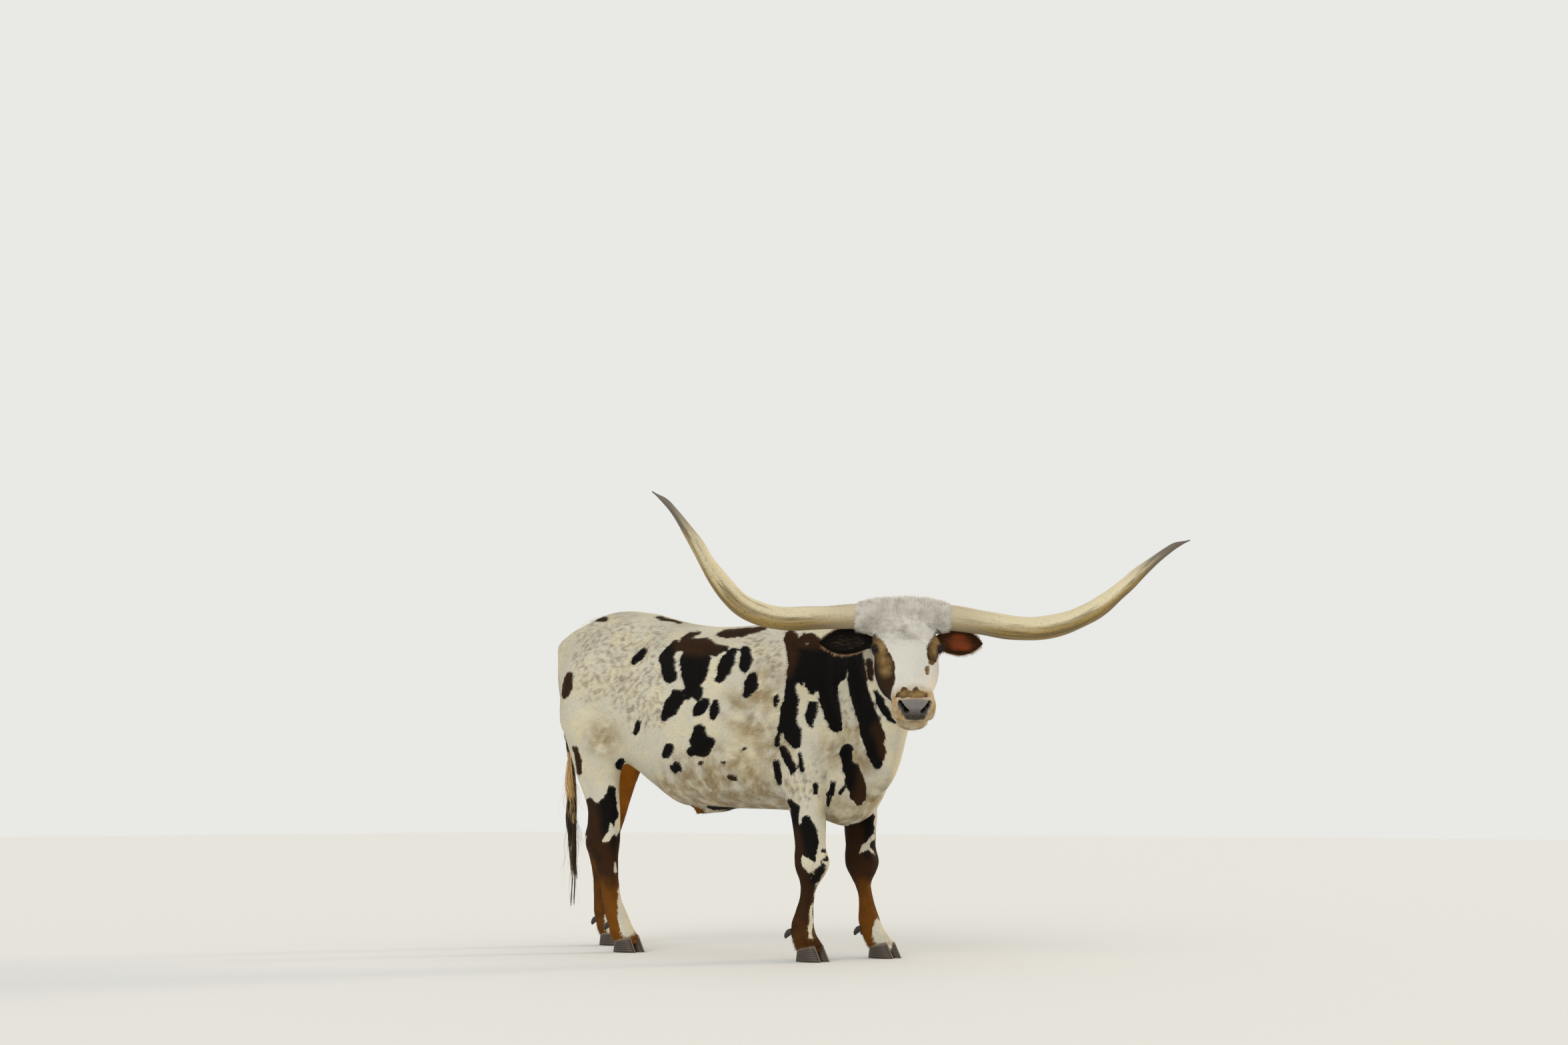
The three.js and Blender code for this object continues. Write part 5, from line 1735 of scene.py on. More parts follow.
@dataclass(frozen=True)
class HairFinish:
    """Short dull cattle hair: white with roan flecks and dark patches."""

    name: str = "cattle hair"
    white: str = "#D4CFBE"
    warm_white: str = "#DED5B8"
    fleck: str = "#857868"
    # Darker yellow-brown for dirt, and for the painted shade on the undersides.
    soil: str = "#86692B"
    black: str = "#070403"
    brown: str = "#38210B"
    russet: str = "#784708"
    # Painted glow of light shining through the hair, on the left hind leg and the left ear.
    painted_glow: str = "#B8701C"
    tan: str = "#B8955F"
    pad: str = "#847F7B"
    pad_low: str = "#3D372E"
    grey: str = "#DFDBD1"
    grey_root: str = "#8B8276"
    # Dark wet skin of the nostrils, lips and lids, also painted as the shade deep in the nostrils, in the
    # crease of the lips and in the right ear's hollow.
    wet: str = "#0C0807"

    def material(self) -> bpy.types.Material:
        """Return the material of skin and coat alike, which read the pattern at the root of the hair.

        Noise in lumps of some millimetres makes the patch edges uneven, mottles the white with dirt and with
        painted shade on the undersides, warm hair and roan flecks, and varies the dark from black to russet
        and on to a painted orange glow of light shining through the hair; a tuft's own tint shifts all of
        them a little, and each tuft is painted darker at its root, as the shade among the hairs, and lighter
        to its tip; the skin under the coat is painted darker as shade.

        Returns:
            The material.
        """
        n, ink = Nodes(self.name), inks(self)
        add = n.add
        root = add("Attribute root").outputs["Vector"]
        patch, bare, muzzle = (
            add("Attribute " + name).outputs["Fac"] for name in ("patch", "bare", "muzzle")
        )
        brown, roan, soiled, tan, pad, grey, tint, rise, hairy = (
            socket
            for name in ("marks", "face", "hair")
            for socket in add("SeparateXYZ", add("Attribute " + name).outputs["Vector"]).outputs
        )
        details = ((3.0, (9.0, 11.0, 13.0, 42.0, 55.0, 60.0, 90.0)), (2.0, (2.5, 21.0, 26.0, 27.0)))
        lumps = {
            size: add("TexNoise", Vector=root, Scale=1.0 / (size * MM), Detail=detail, Roughness=0.55)
            for detail, sizes in details
            for size in sizes
        }
        coarse = add("Math MULTIPLY_ADD", lumps[42], 0.030, -0.015)
        calm = add("Math MULTIPLY_ADD", add("MapRange SMOOTHSTEP", grey, 0.0, 0.5), -0.6, 1.0)
        fine = add("Math MULTIPLY_ADD", tint, 0.0035, add("Math MULTIPLY_ADD", lumps[11], 0.012, -0.006))
        edge = add("Math ADD", add("Math ADD", patch, add("Math MULTIPLY", coarse, calm)), fine)
        inside = add("MapRange SMOOTHSTEP", edge, 0.0055, 0.0005)
        warmth = add("MapRange SMOOTHSTEP", lumps[90], 0.35, 0.7)
        white = add("Mix RGBA", warmth, ink["white"], ink["warm_white"])
        # Dirt and painted shade: the dirt strokes and the shaded undersides are mottled with a darker
        # yellow-brown.
        soil = add("Math MULTIPLY", soiled, add("MapRange SMOOTHSTEP", lumps[55], 0.3, 0.62))
        soil = add("Math MULTIPLY", soil, add("Math MULTIPLY_ADD", lumps[13], 1.3, 0.2))
        white = add("Mix RGBA", add("Math MULTIPLY", soil, 0.8), white, ink["soil"])
        flecks = add("Math ADD", lumps[21], add("Math MULTIPLY", tint, 0.09))
        flecks = add("Math ADD", flecks, add("Math MULTIPLY_ADD", roan, 0.20, -0.72))
        flecked = add("Math MULTIPLY", add("MapRange SMOOTHSTEP", flecks, -0.07, 0.13), 0.72)
        white = add("Mix RGBA", flecked, white, ink["fleck"])
        streaks = add("MapRange SMOOTHSTEP", add("Math MULTIPLY_ADD", tint, 0.16, lumps[26]), 0.42, 0.74)
        streaks = add("Math MULTIPLY", streaks, add("MapRange SMOOTHSTEP", grey, 0.45, 1.0))
        greyed = add("Mix RGBA", add("Math MULTIPLY", streaks, 0.7), ink["grey"], ink["grey_root"])
        white = add("Mix RGBA", add("MapRange SMOOTHSTEP", grey, 0.0, 0.5), white, greyed)
        shade = add("Math ADD", brown, add("Math MULTIPLY_ADD", lumps[60], 0.5, -0.25))
        dark = ink["black"]
        # Past a share of 1.7 the dark turns to the painted orange glow of light shining through the hair.
        for name, low, high in (("brown", 0.15, 0.95), ("russet", 1.0, 1.6), ("painted_glow", 1.7, 2.3)):
            dark = add("Mix RGBA", add("MapRange SMOOTHSTEP", shade, low, high), dark, ink[name])
        mottle = add("MapRange SMOOTHSTEP", add("Math MULTIPLY_ADD", tint, 0.07, lumps[27]), 0.34, 0.64)
        mottle = add("Math MULTIPLY_ADD", mottle, 0.5, 0.45)
        white = add("Mix RGBA", add("Math MULTIPLY", muzzle, mottle), white, ink["tan"])
        dark = add("Mix RGBA", add("Math MULTIPLY", tan, mottle), dark, ink["tan"])
        low = add("Math MULTIPLY_ADD", lumps[9], 0.9, add("Math ADD", grey, -0.45))
        colour = add("Mix RGBA", inside, white, dark)
        colour = add("Mix RGBA", pad, colour, add("Mix RGBA", low, ink["pad"], ink["pad_low"]))
        colour = add("Mix RGBA", bare, colour, ink["wet"])
        # Painted shade among the hairs: each tuft is darker at its root and lighter to its tip, shifted by
        # its own random tint, and the skin under the coat is painted darker still.
        gain = add("Math MULTIPLY_ADD", tint, 0.12, add("Math MULTIPLY_ADD", rise, 0.22, 0.86))
        gain = add("Mix RGBA", hairy, (0.8, 0.8, 0.8, 1.0), add("CombineColor", gain, gain, gain))
        colour = add("Mix RGBA", 1.0, colour, gain, blend_type="MULTIPLY")
        bump = add("Bump", Strength=0.5, Distance=0.6 * MM, Height=lumps[2.5])
        rough = add("Math MULTIPLY_ADD", add("Math MAXIMUM", pad, bare), -0.36, 0.74)
        surface = add(
            "BsdfPrincipled", Base_Color=colour, Roughness=rough, Normal=bump, Specular_IOR_Level=0.12
        )
        return n.finish(surface)


# Horns in the head's level frame: out to the side, forward, up, radius
HORN_LEFT = [
    (60, 0, 2, 50), (199, 0, -3, 49.5), (326, 0, -22, 48.3), (427, 10, -39, 47.2), (529, 20, -43, 45.9),
    (627, 35, -25, 43.6), (730, 50, 19, 39.3), (781, 60, 52, 36.4), (831, 70, 92, 31.9),
    (871, 80, 126, 28.9), (914, 90, 166, 25), (955, 95, 200, 20.8), (997, 100, 234, 17.2),
    (1028, 100, 257, 14.6), (1059, 100, 277, 11.7), (1121, 90, 300, 2.6),
]
HORN_RIGHT = [
    (60, 0, 4, 49), (186, 0, 3, 48.1), (350, 0, -5, 45.5), (463, 10, -9, 46), (545, 20, 4, 44.7),
    (627, 35, 39, 43.3), (678, 50, 83, 41.3), (723, 62, 137, 36.1), (766, 75, 199, 30.7),
    (805, 88, 266, 26.8), (835, 95, 312, 21.9), (866, 100, 358, 18), (897, 100, 399, 14.4),
    (928, 98, 434, 11.6), (981, 90, 475, 2.6),
]
EAR_SEAT = (86.0, 120.0, -116.0)
EAR_LENGTH = 204.0
# Ear along its length: share, half width, depth of the cup, thickness
EAR = [
    (-0.12, 20, 17, 15), (0.04, 25, 20, 13), (0.16, 36, 24, 8), (0.32, 48, 25, 6), (0.5, 53, 22, 5.5),
    (0.68, 47, 17, 5), (0.84, 32, 11, 4.5), (0.95, 16, 6, 4), (1, 6, 3, 3),
]
EYE_PLACE = (225.0, 112.0, -46.0)
EYE_GAZE = (0.48, 0.68, 0.55)
EYE_RADIUS = 21.0


class Hand(Enum):
    """A side of the animal, as the sign of Y on it."""

    LEFT = 1.0
    RIGHT = -1.0

    @property
    def word(self) -> str:
        """The side's name in the names of pieces."""
        return self.name.lower()


@dataclass(frozen=True)
class HornFinish:
    """Weathered horn: cream and olive in long streaks, pitted, worn grey at the tips; olive, streaks and pits
    are painted stronger on the underside, as shade.
    """

    cream: str = "#CBBF9C"
    olive: str = "#94793A"
    streak: str = "#5E5030"
    tip: str = "#5F554B"
    root: str = "#A89B80"

    def material(self) -> bpy.types.Material:
        """Return the material, which reads the grain of the horn, how far along it each point lies, and the
        painted shade on its underside.

        Streaks follow the grain; olive, darker streaks and pits of 7 mm are painted stronger on the underside
        than above, as painted shade.

        Returns:
            The material.
        """
        n, ink = Nodes("horn keratin"), inks(self)
        add = n.add
        grain, wear, root = (add("Attribute " + name).outputs["Vector"] for name in ("grain", "wear", "root"))
        share, below, _ = add("SeparateXYZ", wear).outputs
        long = add("TexNoise", Vector=grain, Scale=60.0, Detail=5.0, Roughness=0.6)
        broad = add("TexNoise", Vector=grain, Scale=14.0, Detail=2.0, Roughness=0.5)
        pits = add("TexNoise", Vector=root, Scale=1.0 / (7.0 * MM), Detail=3.0, Roughness=0.55)
        # Painted shade: olive, streaks and pits grow stronger towards the underside.
        under = add("Math ADD", below, add("Math MULTIPLY_ADD", broad, 2.0, -1.0))
        colour = add("Mix RGBA", add("MapRange SMOOTHSTEP", under, 0.25, 0.95), ink["cream"], ink["olive"])
        dark = add("MapRange SMOOTHSTEP", add("Math MULTIPLY_ADD", below, 0.16, long), 0.52, 0.76)
        pitted = add("Math MULTIPLY_ADD", below, 0.55, 0.25)
        pitted = add("Math MULTIPLY", add("MapRange SMOOTHSTEP", pits, 0.55, 0.68), pitted)
        near = add("Math MULTIPLY", add("MapRange SMOOTHSTEP", share, 0.24, 0.06), 0.6)
        worn = add("MapRange SMOOTHSTEP", add("Math MULTIPLY_ADD", long, 0.2, share), 0.78, 1.06)
        dark = add("Math MULTIPLY", dark, 0.8)
        layers = ((dark, "streak"), (pitted, "streak"), (near, "root"), (worn, "tip"))
        for amount, name in layers:
            colour = add("Mix RGBA", amount, colour, ink[name])
        height = add("Math ADD", long, add("Math MULTIPLY", pits, 0.5))
        bump = add("Bump", Strength=0.55, Distance=1.2 * MM, Height=height)
        rough = add("Math MULTIPLY_ADD", long, 0.3, 0.33)
        return n.finish(add("BsdfPrincipled", Base_Color=colour, Roughness=rough, Normal=bump))


@dataclass(frozen=True)
class Horn:
    """One horn: a tapered tube along its bent line, ringed near its root."""

    hand: Hand
    table: Sequence[tuple[float, float, float, float]]
    first: float = 150.0
    rings: int = 300
    sides: int = 64

    def build(self, material: bpy.types.Material) -> bpy.types.Object:
        """Make the horn.

        The radius is the table's, plus fine uneven growth rings that fade in the first third, plus a slow
        unevenness along and round the horn.

        Args:
            material: Its material.

        Returns:
            The horn's object.
        """
        rows = np.asarray(self.table, float)
        heading = np.array([math.cos(HEAD_TURN), math.sin(HEAD_TURN), 0.0])
        seat = from_head(HORN_SEAT)
        line = seat + self.hand.value * rows[:, :1] * HEAD[1] + rows[:, 1:2] * heading
        line = line + rows[:, 2:3] * np.array([0.0, 0.0, 1.0])
        steps = len(rows) - 1
        start = np.interp(self.first, rows[:, 0], np.arange(len(rows))) / steps
        t = start + (1.0 - start) * np.linspace(0.0, 1.0, self.rings)
        middle, side, up = frames_along(line, t, heading)
        radius = row_at(np.column_stack([np.arange(len(rows)), rows[:, 3]]), t * steps)[:, 0]
        length = np.append(0.0, np.cumsum(np.linalg.norm(np.diff(middle, axis=0), axis=1)))
        share = length / length[-1]
        angle = np.linspace(0.0, 2.0 * math.pi, self.sides, endpoint=False)
        s, a = length[:, None], angle[None, :]
        rings = 0.7 * np.sin(s / 2.1 + 1.5 * np.sin(s / 9.0) + 0.4 * np.sin(3 * a))
        rings = rings * ease(0.32, 0.05, share)[:, None]
        uneven = 0.9 * np.sin(s / 31.0 + 2.0 * np.sin(a)) + 0.5 * np.sin(5 * a + s / 60.0)
        r = radius[:, None] + (rings + uneven) * ease(0, 20, radius)[:, None]
        flat = np.cos(a)[..., None] * side[:, None] + np.sin(a)[..., None] * up[:, None]
        shell = Shell.tube(packed(middle[:, None] + r[..., None] * flat))
        piece = shell.piece(f"horn_{self.hand.word}", material, "horn")
        # Painted shade: how far each point faces down, which darkens the underside in the material.
        down = ease(0.5, -0.8, flat[..., 2])
        lengthwise = np.broadcast_to(s, down.shape) * 0.06 * MM
        grain = np.stack([lengthwise, r * np.cos(a) * MM, r * np.sin(a) * MM], -1)
        wear = np.stack([np.broadcast_to(share[:, None], down.shape), down, np.zeros_like(down)], -1)
        for name, values in (("grain", grain), ("wear", wear)):
            set_field(piece.data, name, np.vstack([values.reshape(-1, 3), values[0, :1], values[-1, :1]]))
        set_field(piece.data, "root", shell.points)
        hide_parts(f"horn_{self.hand.word}")
        return piece


@dataclass(frozen=True)
class StrandFinish:
    """Long coarse hair between two shades."""

    name: str
    dark: str
    fair: str
    rough: float = 0.5

    def material(self) -> bpy.types.Material:
        """Return the material; the first number of a strand's own attribute mixes the shades.

        Returns:
            The material.
        """
        n, ink = Nodes(self.name), inks(self)
        shade = n.add("SeparateXYZ", n.add("Attribute hair").outputs["Vector"])
        colour = n.add("Mix RGBA", shade, ink["dark"], ink["fair"])
        shader = n.add("BsdfPrincipled", Base_Color=colour, Roughness=self.rough, Specular_IOR_Level=0.4)
        return n.finish(shader)


def strands(name: str, slot: str, material: bpy.types.Material, paths: Array, half: Array, shade: Array,
            chart: Chart, seed: int) -> bpy.types.Object:
    """Make a piece of single hairs or thin locks along paths, each turned its own way.

    Args:
        name: The name it gets.
        slot: Passed on to the piece, where it is not used.
        material: Its material.
        paths: The lines of the hairs.
        half: Half of the width along each line.
        shade: A shade for each hair.
        chart: The unwrap that gives each hair its patch.
        seed: Seed of the random draws.

    Returns:
        The piece.
    """
    random = np.random.default_rng(seed)
    along = unit(paths[:, -1] - paths[:, 0])
    across = unit(np.cross(along, random.normal(size=along.shape)))
    points, triangles, rise = ribbons(packed(paths), across, half * MM)
    piece = Shell(points, [triangles]).piece(name, material, slot)
    step = 2 * paths.shape[1] - 1
    set_field(piece.data, "hair", np.stack([np.repeat(shade, step), rise, np.ones_like(rise)], 1))
    set_patches(piece.data, triangles, chart.at(paths[:, 0]), rise, step)
    return piece


@dataclass(frozen=True)
class Ear:
    """One ear: a thick leaf with a hollow front, short hair all over, long hair inside and a fair fringe."""

    hand: Hand
    rings: int = 90
    arc: int = 30

    def frame(self) -> tuple[Array, Array, Array, Array]:
        """Return the ear's seat and its directions: outwards, down its width, and out of its hollow.

        Returns:
            The seat, and unit vectors along, across and out of the ear.
        """
        hand = self.hand.value
        out = unit(np.array([-0.25, hand * 0.95, -0.1])) @ HEAD
        lip = unit(np.array([0.62, 0.0, 0.55])) @ HEAD
        down = -hand * unit(np.cross(out, lip))
        face = -hand * unit(np.cross(down, out))
        seat = from_head(np.array(EAR_SEAT) * [1.0, hand, 1.0])
        return seat, out, down, face

    def at(self, t: Array, across: Array, depth: Array) -> Array:
        """Return places on the ear from a share of its length and millimetres across and out of it.

        Args:
            t: Share of the ear's length from its root.
            across: Millimetres across it.
            depth: Millimetres out of its hollow.

        Returns:
            One place for each, in the stance.
        """
        seat, out, down, face = self.frame()
        drop = np.array([0.0, 0.0, -14.0]) * (t**2)[..., None]
        flat = seat + t[..., None] * EAR_LENGTH * out + across[..., None] * down
        return flat + depth[..., None] * face + drop

    def build(self, hair: bpy.types.Material, fringe: bpy.types.Material, seed: int) -> None:
        """Make the ear and its hair.

        Args:
            hair: Material of the hair.
            fringe: Material of the long hairs.
            seed: Seed of the random draws.
        """
        t = np.linspace(-0.12, 1.0, self.rings)
        half, cup, wall = (c[:, None] for c in row_at(EAR, t).T)
        angle = np.linspace(0.0, math.pi, self.arc)[None, :]
        back = np.stack(np.broadcast_arrays(np.cos(angle) * half, -np.sin(angle) * cup), -1)
        inner = angle[:, -2:0:-1]
        width = np.cos(inner) * half * (1.0 - wall / half)
        ribs = 0.9 * np.sin(6.0 * inner + 4.0 * t[:, None]) * ease(0, 0.3, t)[:, None] * np.sin(inner)
        depth = np.minimum(-np.sin(inner) * cup + wall + 0.02 * cup, 0.0) + ribs
        front = np.stack(np.broadcast_arrays(width, depth), -1)
        flat = np.concatenate([back, front], 1)
        rings = self.at(np.broadcast_to(t[:, None], flat.shape[:2]), flat[..., 0], flat[..., 1] + 0.5 * cup)
        shell = Shell.tube(packed(rings))
        name = f"ear_{self.hand.word}"
        piece = shell.piece(name, hair, "dark_hide")
        corners = shell.triangles()
        count, hollow = len(shell.points), np.zeros(len(shell.points))
        index = np.arange(self.rings * flat.shape[1])
        hollow[: len(index)] = (index % flat.shape[1] >= self.arc).astype(float)
        a, b, c = shell.points[corners.T]
        normals = np.zeros((count, 3))
        for k in range(3):
            np.add.at(normals, corners[:, k], np.cross(b - a, c - a))
        normals = unit(normals)
        left = self.hand is Hand.LEFT
        share = t.ravel()[np.minimum(index // flat.shape[1], self.rings - 1)]
        middle = np.zeros(count)
        middle[: len(index)] = bell(share - 0.52, 0.27) * (1.0 - (flat[..., 0].ravel() / 44.0) ** 2)
        streak = np.zeros(count)
        streak[: len(index)] = 0.07 * np.sin(0.7 * flat[..., 0].ravel() + 9.0 * share)
        # Painted light: the hollow of the left ear is painted red to orange, brightest in its middle, as
        # light shining through it from behind; the right ear's hollow is painted darker, as shade.
        lit = 0.42 + 0.76 * np.clip(middle, 0.0, 1.0) + streak
        reddish = 0.45 + hollow * lit if left else 0.28 * (1.0 - 0.4 * hollow)
        fields = {
            "patch": np.full(count, -0.05),
            "marks": np.stack([reddish, np.zeros(count), np.zeros(count)], 1),
            "face": np.zeros((count, 3)),
            "muzzle": np.zeros(count),
            # Painted shade in the hollow of the right ear.
            "bare": 0.25 * hollow * (not left),
        }
        for key, value in {**fields, "root": shell.points, "hair": np.zeros((count, 3))}.items():
            set_field(piece.data, key, value)
        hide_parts(name)
        _, out, down, face = self.frame()
        flow = out - (normals @ out)[:, None] * normals
        pelt = Pelt(shell.points, corners, normals, unit(flow), fields)
        seat = from_head(np.array(EAR_SEAT) * [1.0, self.hand.value, 1.0])
        chart = Chart(tuple(seat), tuple(out), tuple(face), -40.0, 220.0)
        Coat(pelt, hair).grow(f"coat_ear_{self.hand.word}", Tuft(9, 1.5, 1.6, 260000), np.ones(len(corners)),
                              chart, seed)
        self.fringe(fringe, chart, seed + 10)

    def fringe(self, material: bpy.types.Material, chart: Chart, seed: int) -> None:
        """Set fair hair along both edges and long thin hair across the hollow.

        Args:
            material: Its material.
            chart: The unwrap that gives each hair its patch.
            seed: Seed of the random draws.
        """
        random = np.random.default_rng(seed)
        count, inside = 900, 240
        t = random.uniform(0.08, 0.99, count)
        lower = np.where(random.random(count) < 0.68, 1.0, -1.0)
        half, cup, _ = row_at(EAR, t).T
        root = self.at(t, lower * (half - 1.0), 0.5 * cup)
        _, out, down, face = self.frame()
        way = 0.55 * out + lower[:, None] * 0.7 * down + 0.45 * face + random.normal(0.0, 0.22, (count, 3))
        length = random.uniform(7.0, 17.0, count)
        shade = np.clip(random.normal(0.72, 0.2, count), 0.0, 1.0)
        u = random.uniform(0.1, 0.7, inside)
        wide, deep, _ = row_at(EAR, u).T
        place = random.uniform(-0.8, 0.8, inside)
        inner = self.at(u, place * wide, -0.3 * deep)
        over = 0.8 * out - 0.5 * place[:, None] * down + 0.35 * face + random.normal(0.0, 0.2, (inside, 3))
        root = np.vstack([root, inner])
        way = unit(np.vstack([way, over]))
        length = np.append(length, random.uniform(22.0, 46.0, inside))
        shade = np.append(shade, np.clip(random.normal(0.2, 0.12, inside), 0.0, 1.0))
        s = np.linspace(0.0, 1.0, 4)[None, :, None]
        droop = np.array([0.0, 0.0, -0.22]) * length[:, None, None] * s**2
        paths = root[:, None] + way[:, None] * length[:, None, None] * s + droop
        width = np.where(length > 20.0, 0.35, 0.5)[:, None] * np.array([1.0, 0.9, 0.6, 0.1])
        strands(f"fringe_{self.hand.word}", "dark_hide", material, paths, width, shade, chart, seed + 1)


@dataclass(frozen=True)
class EyeFinish:
    """A wet dark eye: a level pupil in a deep brown iris."""

    pupil: str = "#050404"
    iris: str = "#160A05"
    ring: str = "#120A06"
    white: str = "#B9A893"

    def material(self) -> bpy.types.Material:
        """Return the material; the ball's own attribute gives the place across, up and out of the eye.

        The pupil is an ellipse, wider than high; the ring and the white begin at a distance off the axis.

        Returns:
            The material.
        """
        n, ink = Nodes("wet eye"), inks(self)
        add = n.add
        gaze = add("SeparateXYZ", add("Attribute gaze").outputs["Vector"])
        x, y = (add("Math POWER", add("Math ABSOLUTE", gaze.outputs[i]), 2.0) for i in (0, 1))
        pupil = add("Math ADD", add("Math MULTIPLY", x, 10.0), add("Math MULTIPLY", y, 26.0))
        far = add("Math SQRT", add("Math ADD", x, y))
        colour = ink["pupil"]
        layers = ((pupil, 0.85, 1.15, "iris"), (far, 0.52, 0.62, "ring"), (far, 0.66, 0.74, "white"))
        for value, low, high, name in layers:
            colour = add("Mix RGBA", add("MapRange SMOOTHSTEP", value, low, high), colour, ink[name])
        gloss = {"Specular_IOR_Level": 0.12, "Coat_Weight": 0.2, "Coat_Roughness": 0.03}
        return n.finish(add("BsdfPrincipled", Base_Color=colour, Roughness=0.15, **gloss))


@dataclass(frozen=True)
class Eye:
    """One eye: a ball, the lids that close over it round an almond opening, and its lashes."""

    hand: Hand
    rings: int = 40
    sides: int = 72
    lid_rings: int = 26

    def frame(self) -> tuple[Array, Array, Array, Array]:
        """Return the eye's middle and its directions along the opening, up it and out of it.

        Returns:
            The middle, and unit vectors along the face, up and out.
        """
        hand = np.array([1.0, self.hand.value, 1.0])
        out = unit(np.array(EYE_GAZE) * hand) @ HEAD
        along = unit(HEAD[0] - (HEAD[0] @ out) * out)
        return from_head(np.array(EYE_PLACE) * hand), along, np.cross(out, along) * self.hand.value, out

    def at(self, polar: Array, turn: Array, radius: Array) -> Array:
        """Return places round the eye from the angle off its axis, the angle round it and the radius.

        Args:
            polar: Angle off the eye's axis.
            turn: Angle round the axis.
            radius: Distance from the eye's middle, in millimetres.

        Returns:
            One place for each, in the stance.
        """
        middle, along, up, out = self.frame()
        across = np.cos(turn)[..., None] * along + np.sin(turn)[..., None] * up
        way = np.sin(polar)[..., None] * across + np.cos(polar)[..., None] * out
        return middle + radius[..., None] * way

    def build(self, eye: bpy.types.Material, hair: bpy.types.Material, lash: bpy.types.Material,
              markings: Markings, seed: int) -> None:
        """Make the eye.

        Args:
            eye: Material of the eye.
            hair: Material of the hair.
            lash: Material of the lashes.
            markings: The pattern of the coat.
            seed: Seed of the random draws.
        """
        polar = np.linspace(0.02, math.pi - 0.02, self.rings)[:, None]
        turn = np.linspace(0.0, 2.0 * math.pi, self.sides, endpoint=False)[None, :]
        ball = Shell.tube(packed(self.at(*np.broadcast_arrays(polar, turn, np.full((1, 1), EYE_RADIUS)))))
        name = f"eye_{self.hand.word}"
        piece = ball.piece(name, eye, "eye")
        off, side, ahead = np.sin(polar) * np.cos(turn), np.sin(polar) * np.sin(turn), np.cos(polar)
        gaze = np.stack(np.broadcast_arrays(off, side, ahead), -1)
        set_field(piece.data, "gaze", np.vstack([gaze.reshape(-1, 3), [[0, 0, 1], [0, 0, -1]]]))
        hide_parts(name)
        self.lids(hair, markings)
        self.lashes(lash, seed)

    def lids(self, hair: bpy.types.Material, markings: Markings) -> None:
        """Make the lids: a soft rolled rim round the opening, spread out and back under the skin.

        Args:
            hair: Material of the hair.
            markings: The pattern of the coat.
        """
        turn = np.linspace(0.0, 2.0 * math.pi, 2 * self.sides, endpoint=False)
        share = np.linspace(0.0, 1.0, self.lid_rings)[:, None]
        start = lid_opening(turn)[None, :]
        polar = start + (math.radians(104.0) - start) * np.clip(share - 0.04, 0.0, 1.0) ** 0.9
        rim = 4.4 * ease(0, 0.14, share)
        fold = 1.3 * bell(share - 0.2, 0.07) - 1.5 * bell(share - 0.36, 0.06)
        upper = 0.5 + 0.5 * np.sin(turn)[None, :]
        radius = 21.3 + 0.7 * rim + fold * upper - 2.4 * ease(0.22, 0.6, share)
        spread = self.at(*np.broadcast_arrays(polar, turn[None, :], radius))
        inner = self.at(*np.broadcast_arrays(polar[::-1], turn[None, :], np.full((1, 1), 20.4)))
        rings = np.concatenate([spread, inner[:-1]])
        count, sides = rings.shape[:2]
        quads = ring_quads(count, sides) % (count * sides)
        shell = Shell(packed(rings.reshape(-1, 3)), [quads])
        if shell.volume() < 0.0:
            shell.faces = [quads[:, ::-1]]
        piece = shell.piece(f"lids_{self.hand.word}", hair, "hide")
        normals = normals_of(shell.points, shell.faces[0])
        fields = markings.fields(shell.points, normals)
        bare = np.zeros((count, sides))
        bare[: self.lid_rings] = ease(0.17, 0.08, share)
        bare[self.lid_rings :] = 1.0
        fields["bare"] = bare.ravel()
        fields["face"][:, 0] *= 0.7
        fields["patch"] = np.minimum(fields["patch"], -0.03)
        for key, value in {**fields, "root": shell.points, "hair": np.zeros((len(shell.points), 3))}.items():
            set_field(piece.data, key, value)

    def lashes(self, material: bpy.types.Material, seed: int) -> None:
        """Set lashes along the upper lid, curved up and out.

        Args:
            material: Its material.
            seed: Seed of the random draws.
        """
        random = np.random.default_rng(seed)
        count = 70
        turn = random.uniform(0.2, math.pi - 0.2, count)
        start = lid_opening(turn) + 0.05
        s = np.linspace(0.0, 1.0, 6)[None, :]
        polar = start[:, None] + 0.28 * s - 0.16 * s**2
        length = random.uniform(9.0, 15.0, count)[:, None]
        paths = self.at(*np.broadcast_arrays(polar, turn[:, None] + 0.1 * (s - 0.5), 25.0 + length * s))
        chart = Chart(tuple(self.frame()[0]), tuple(self.frame()[3]), tuple(self.frame()[2]), 0.0, 40.0)
        width = np.full((count, 1), 0.3) * np.linspace(1.0, 0.2, 6)
        name = f"lashes_{self.hand.word}"
        strands(name, "dark_hide", material, paths, width, np.zeros(count), chart, seed + 1)


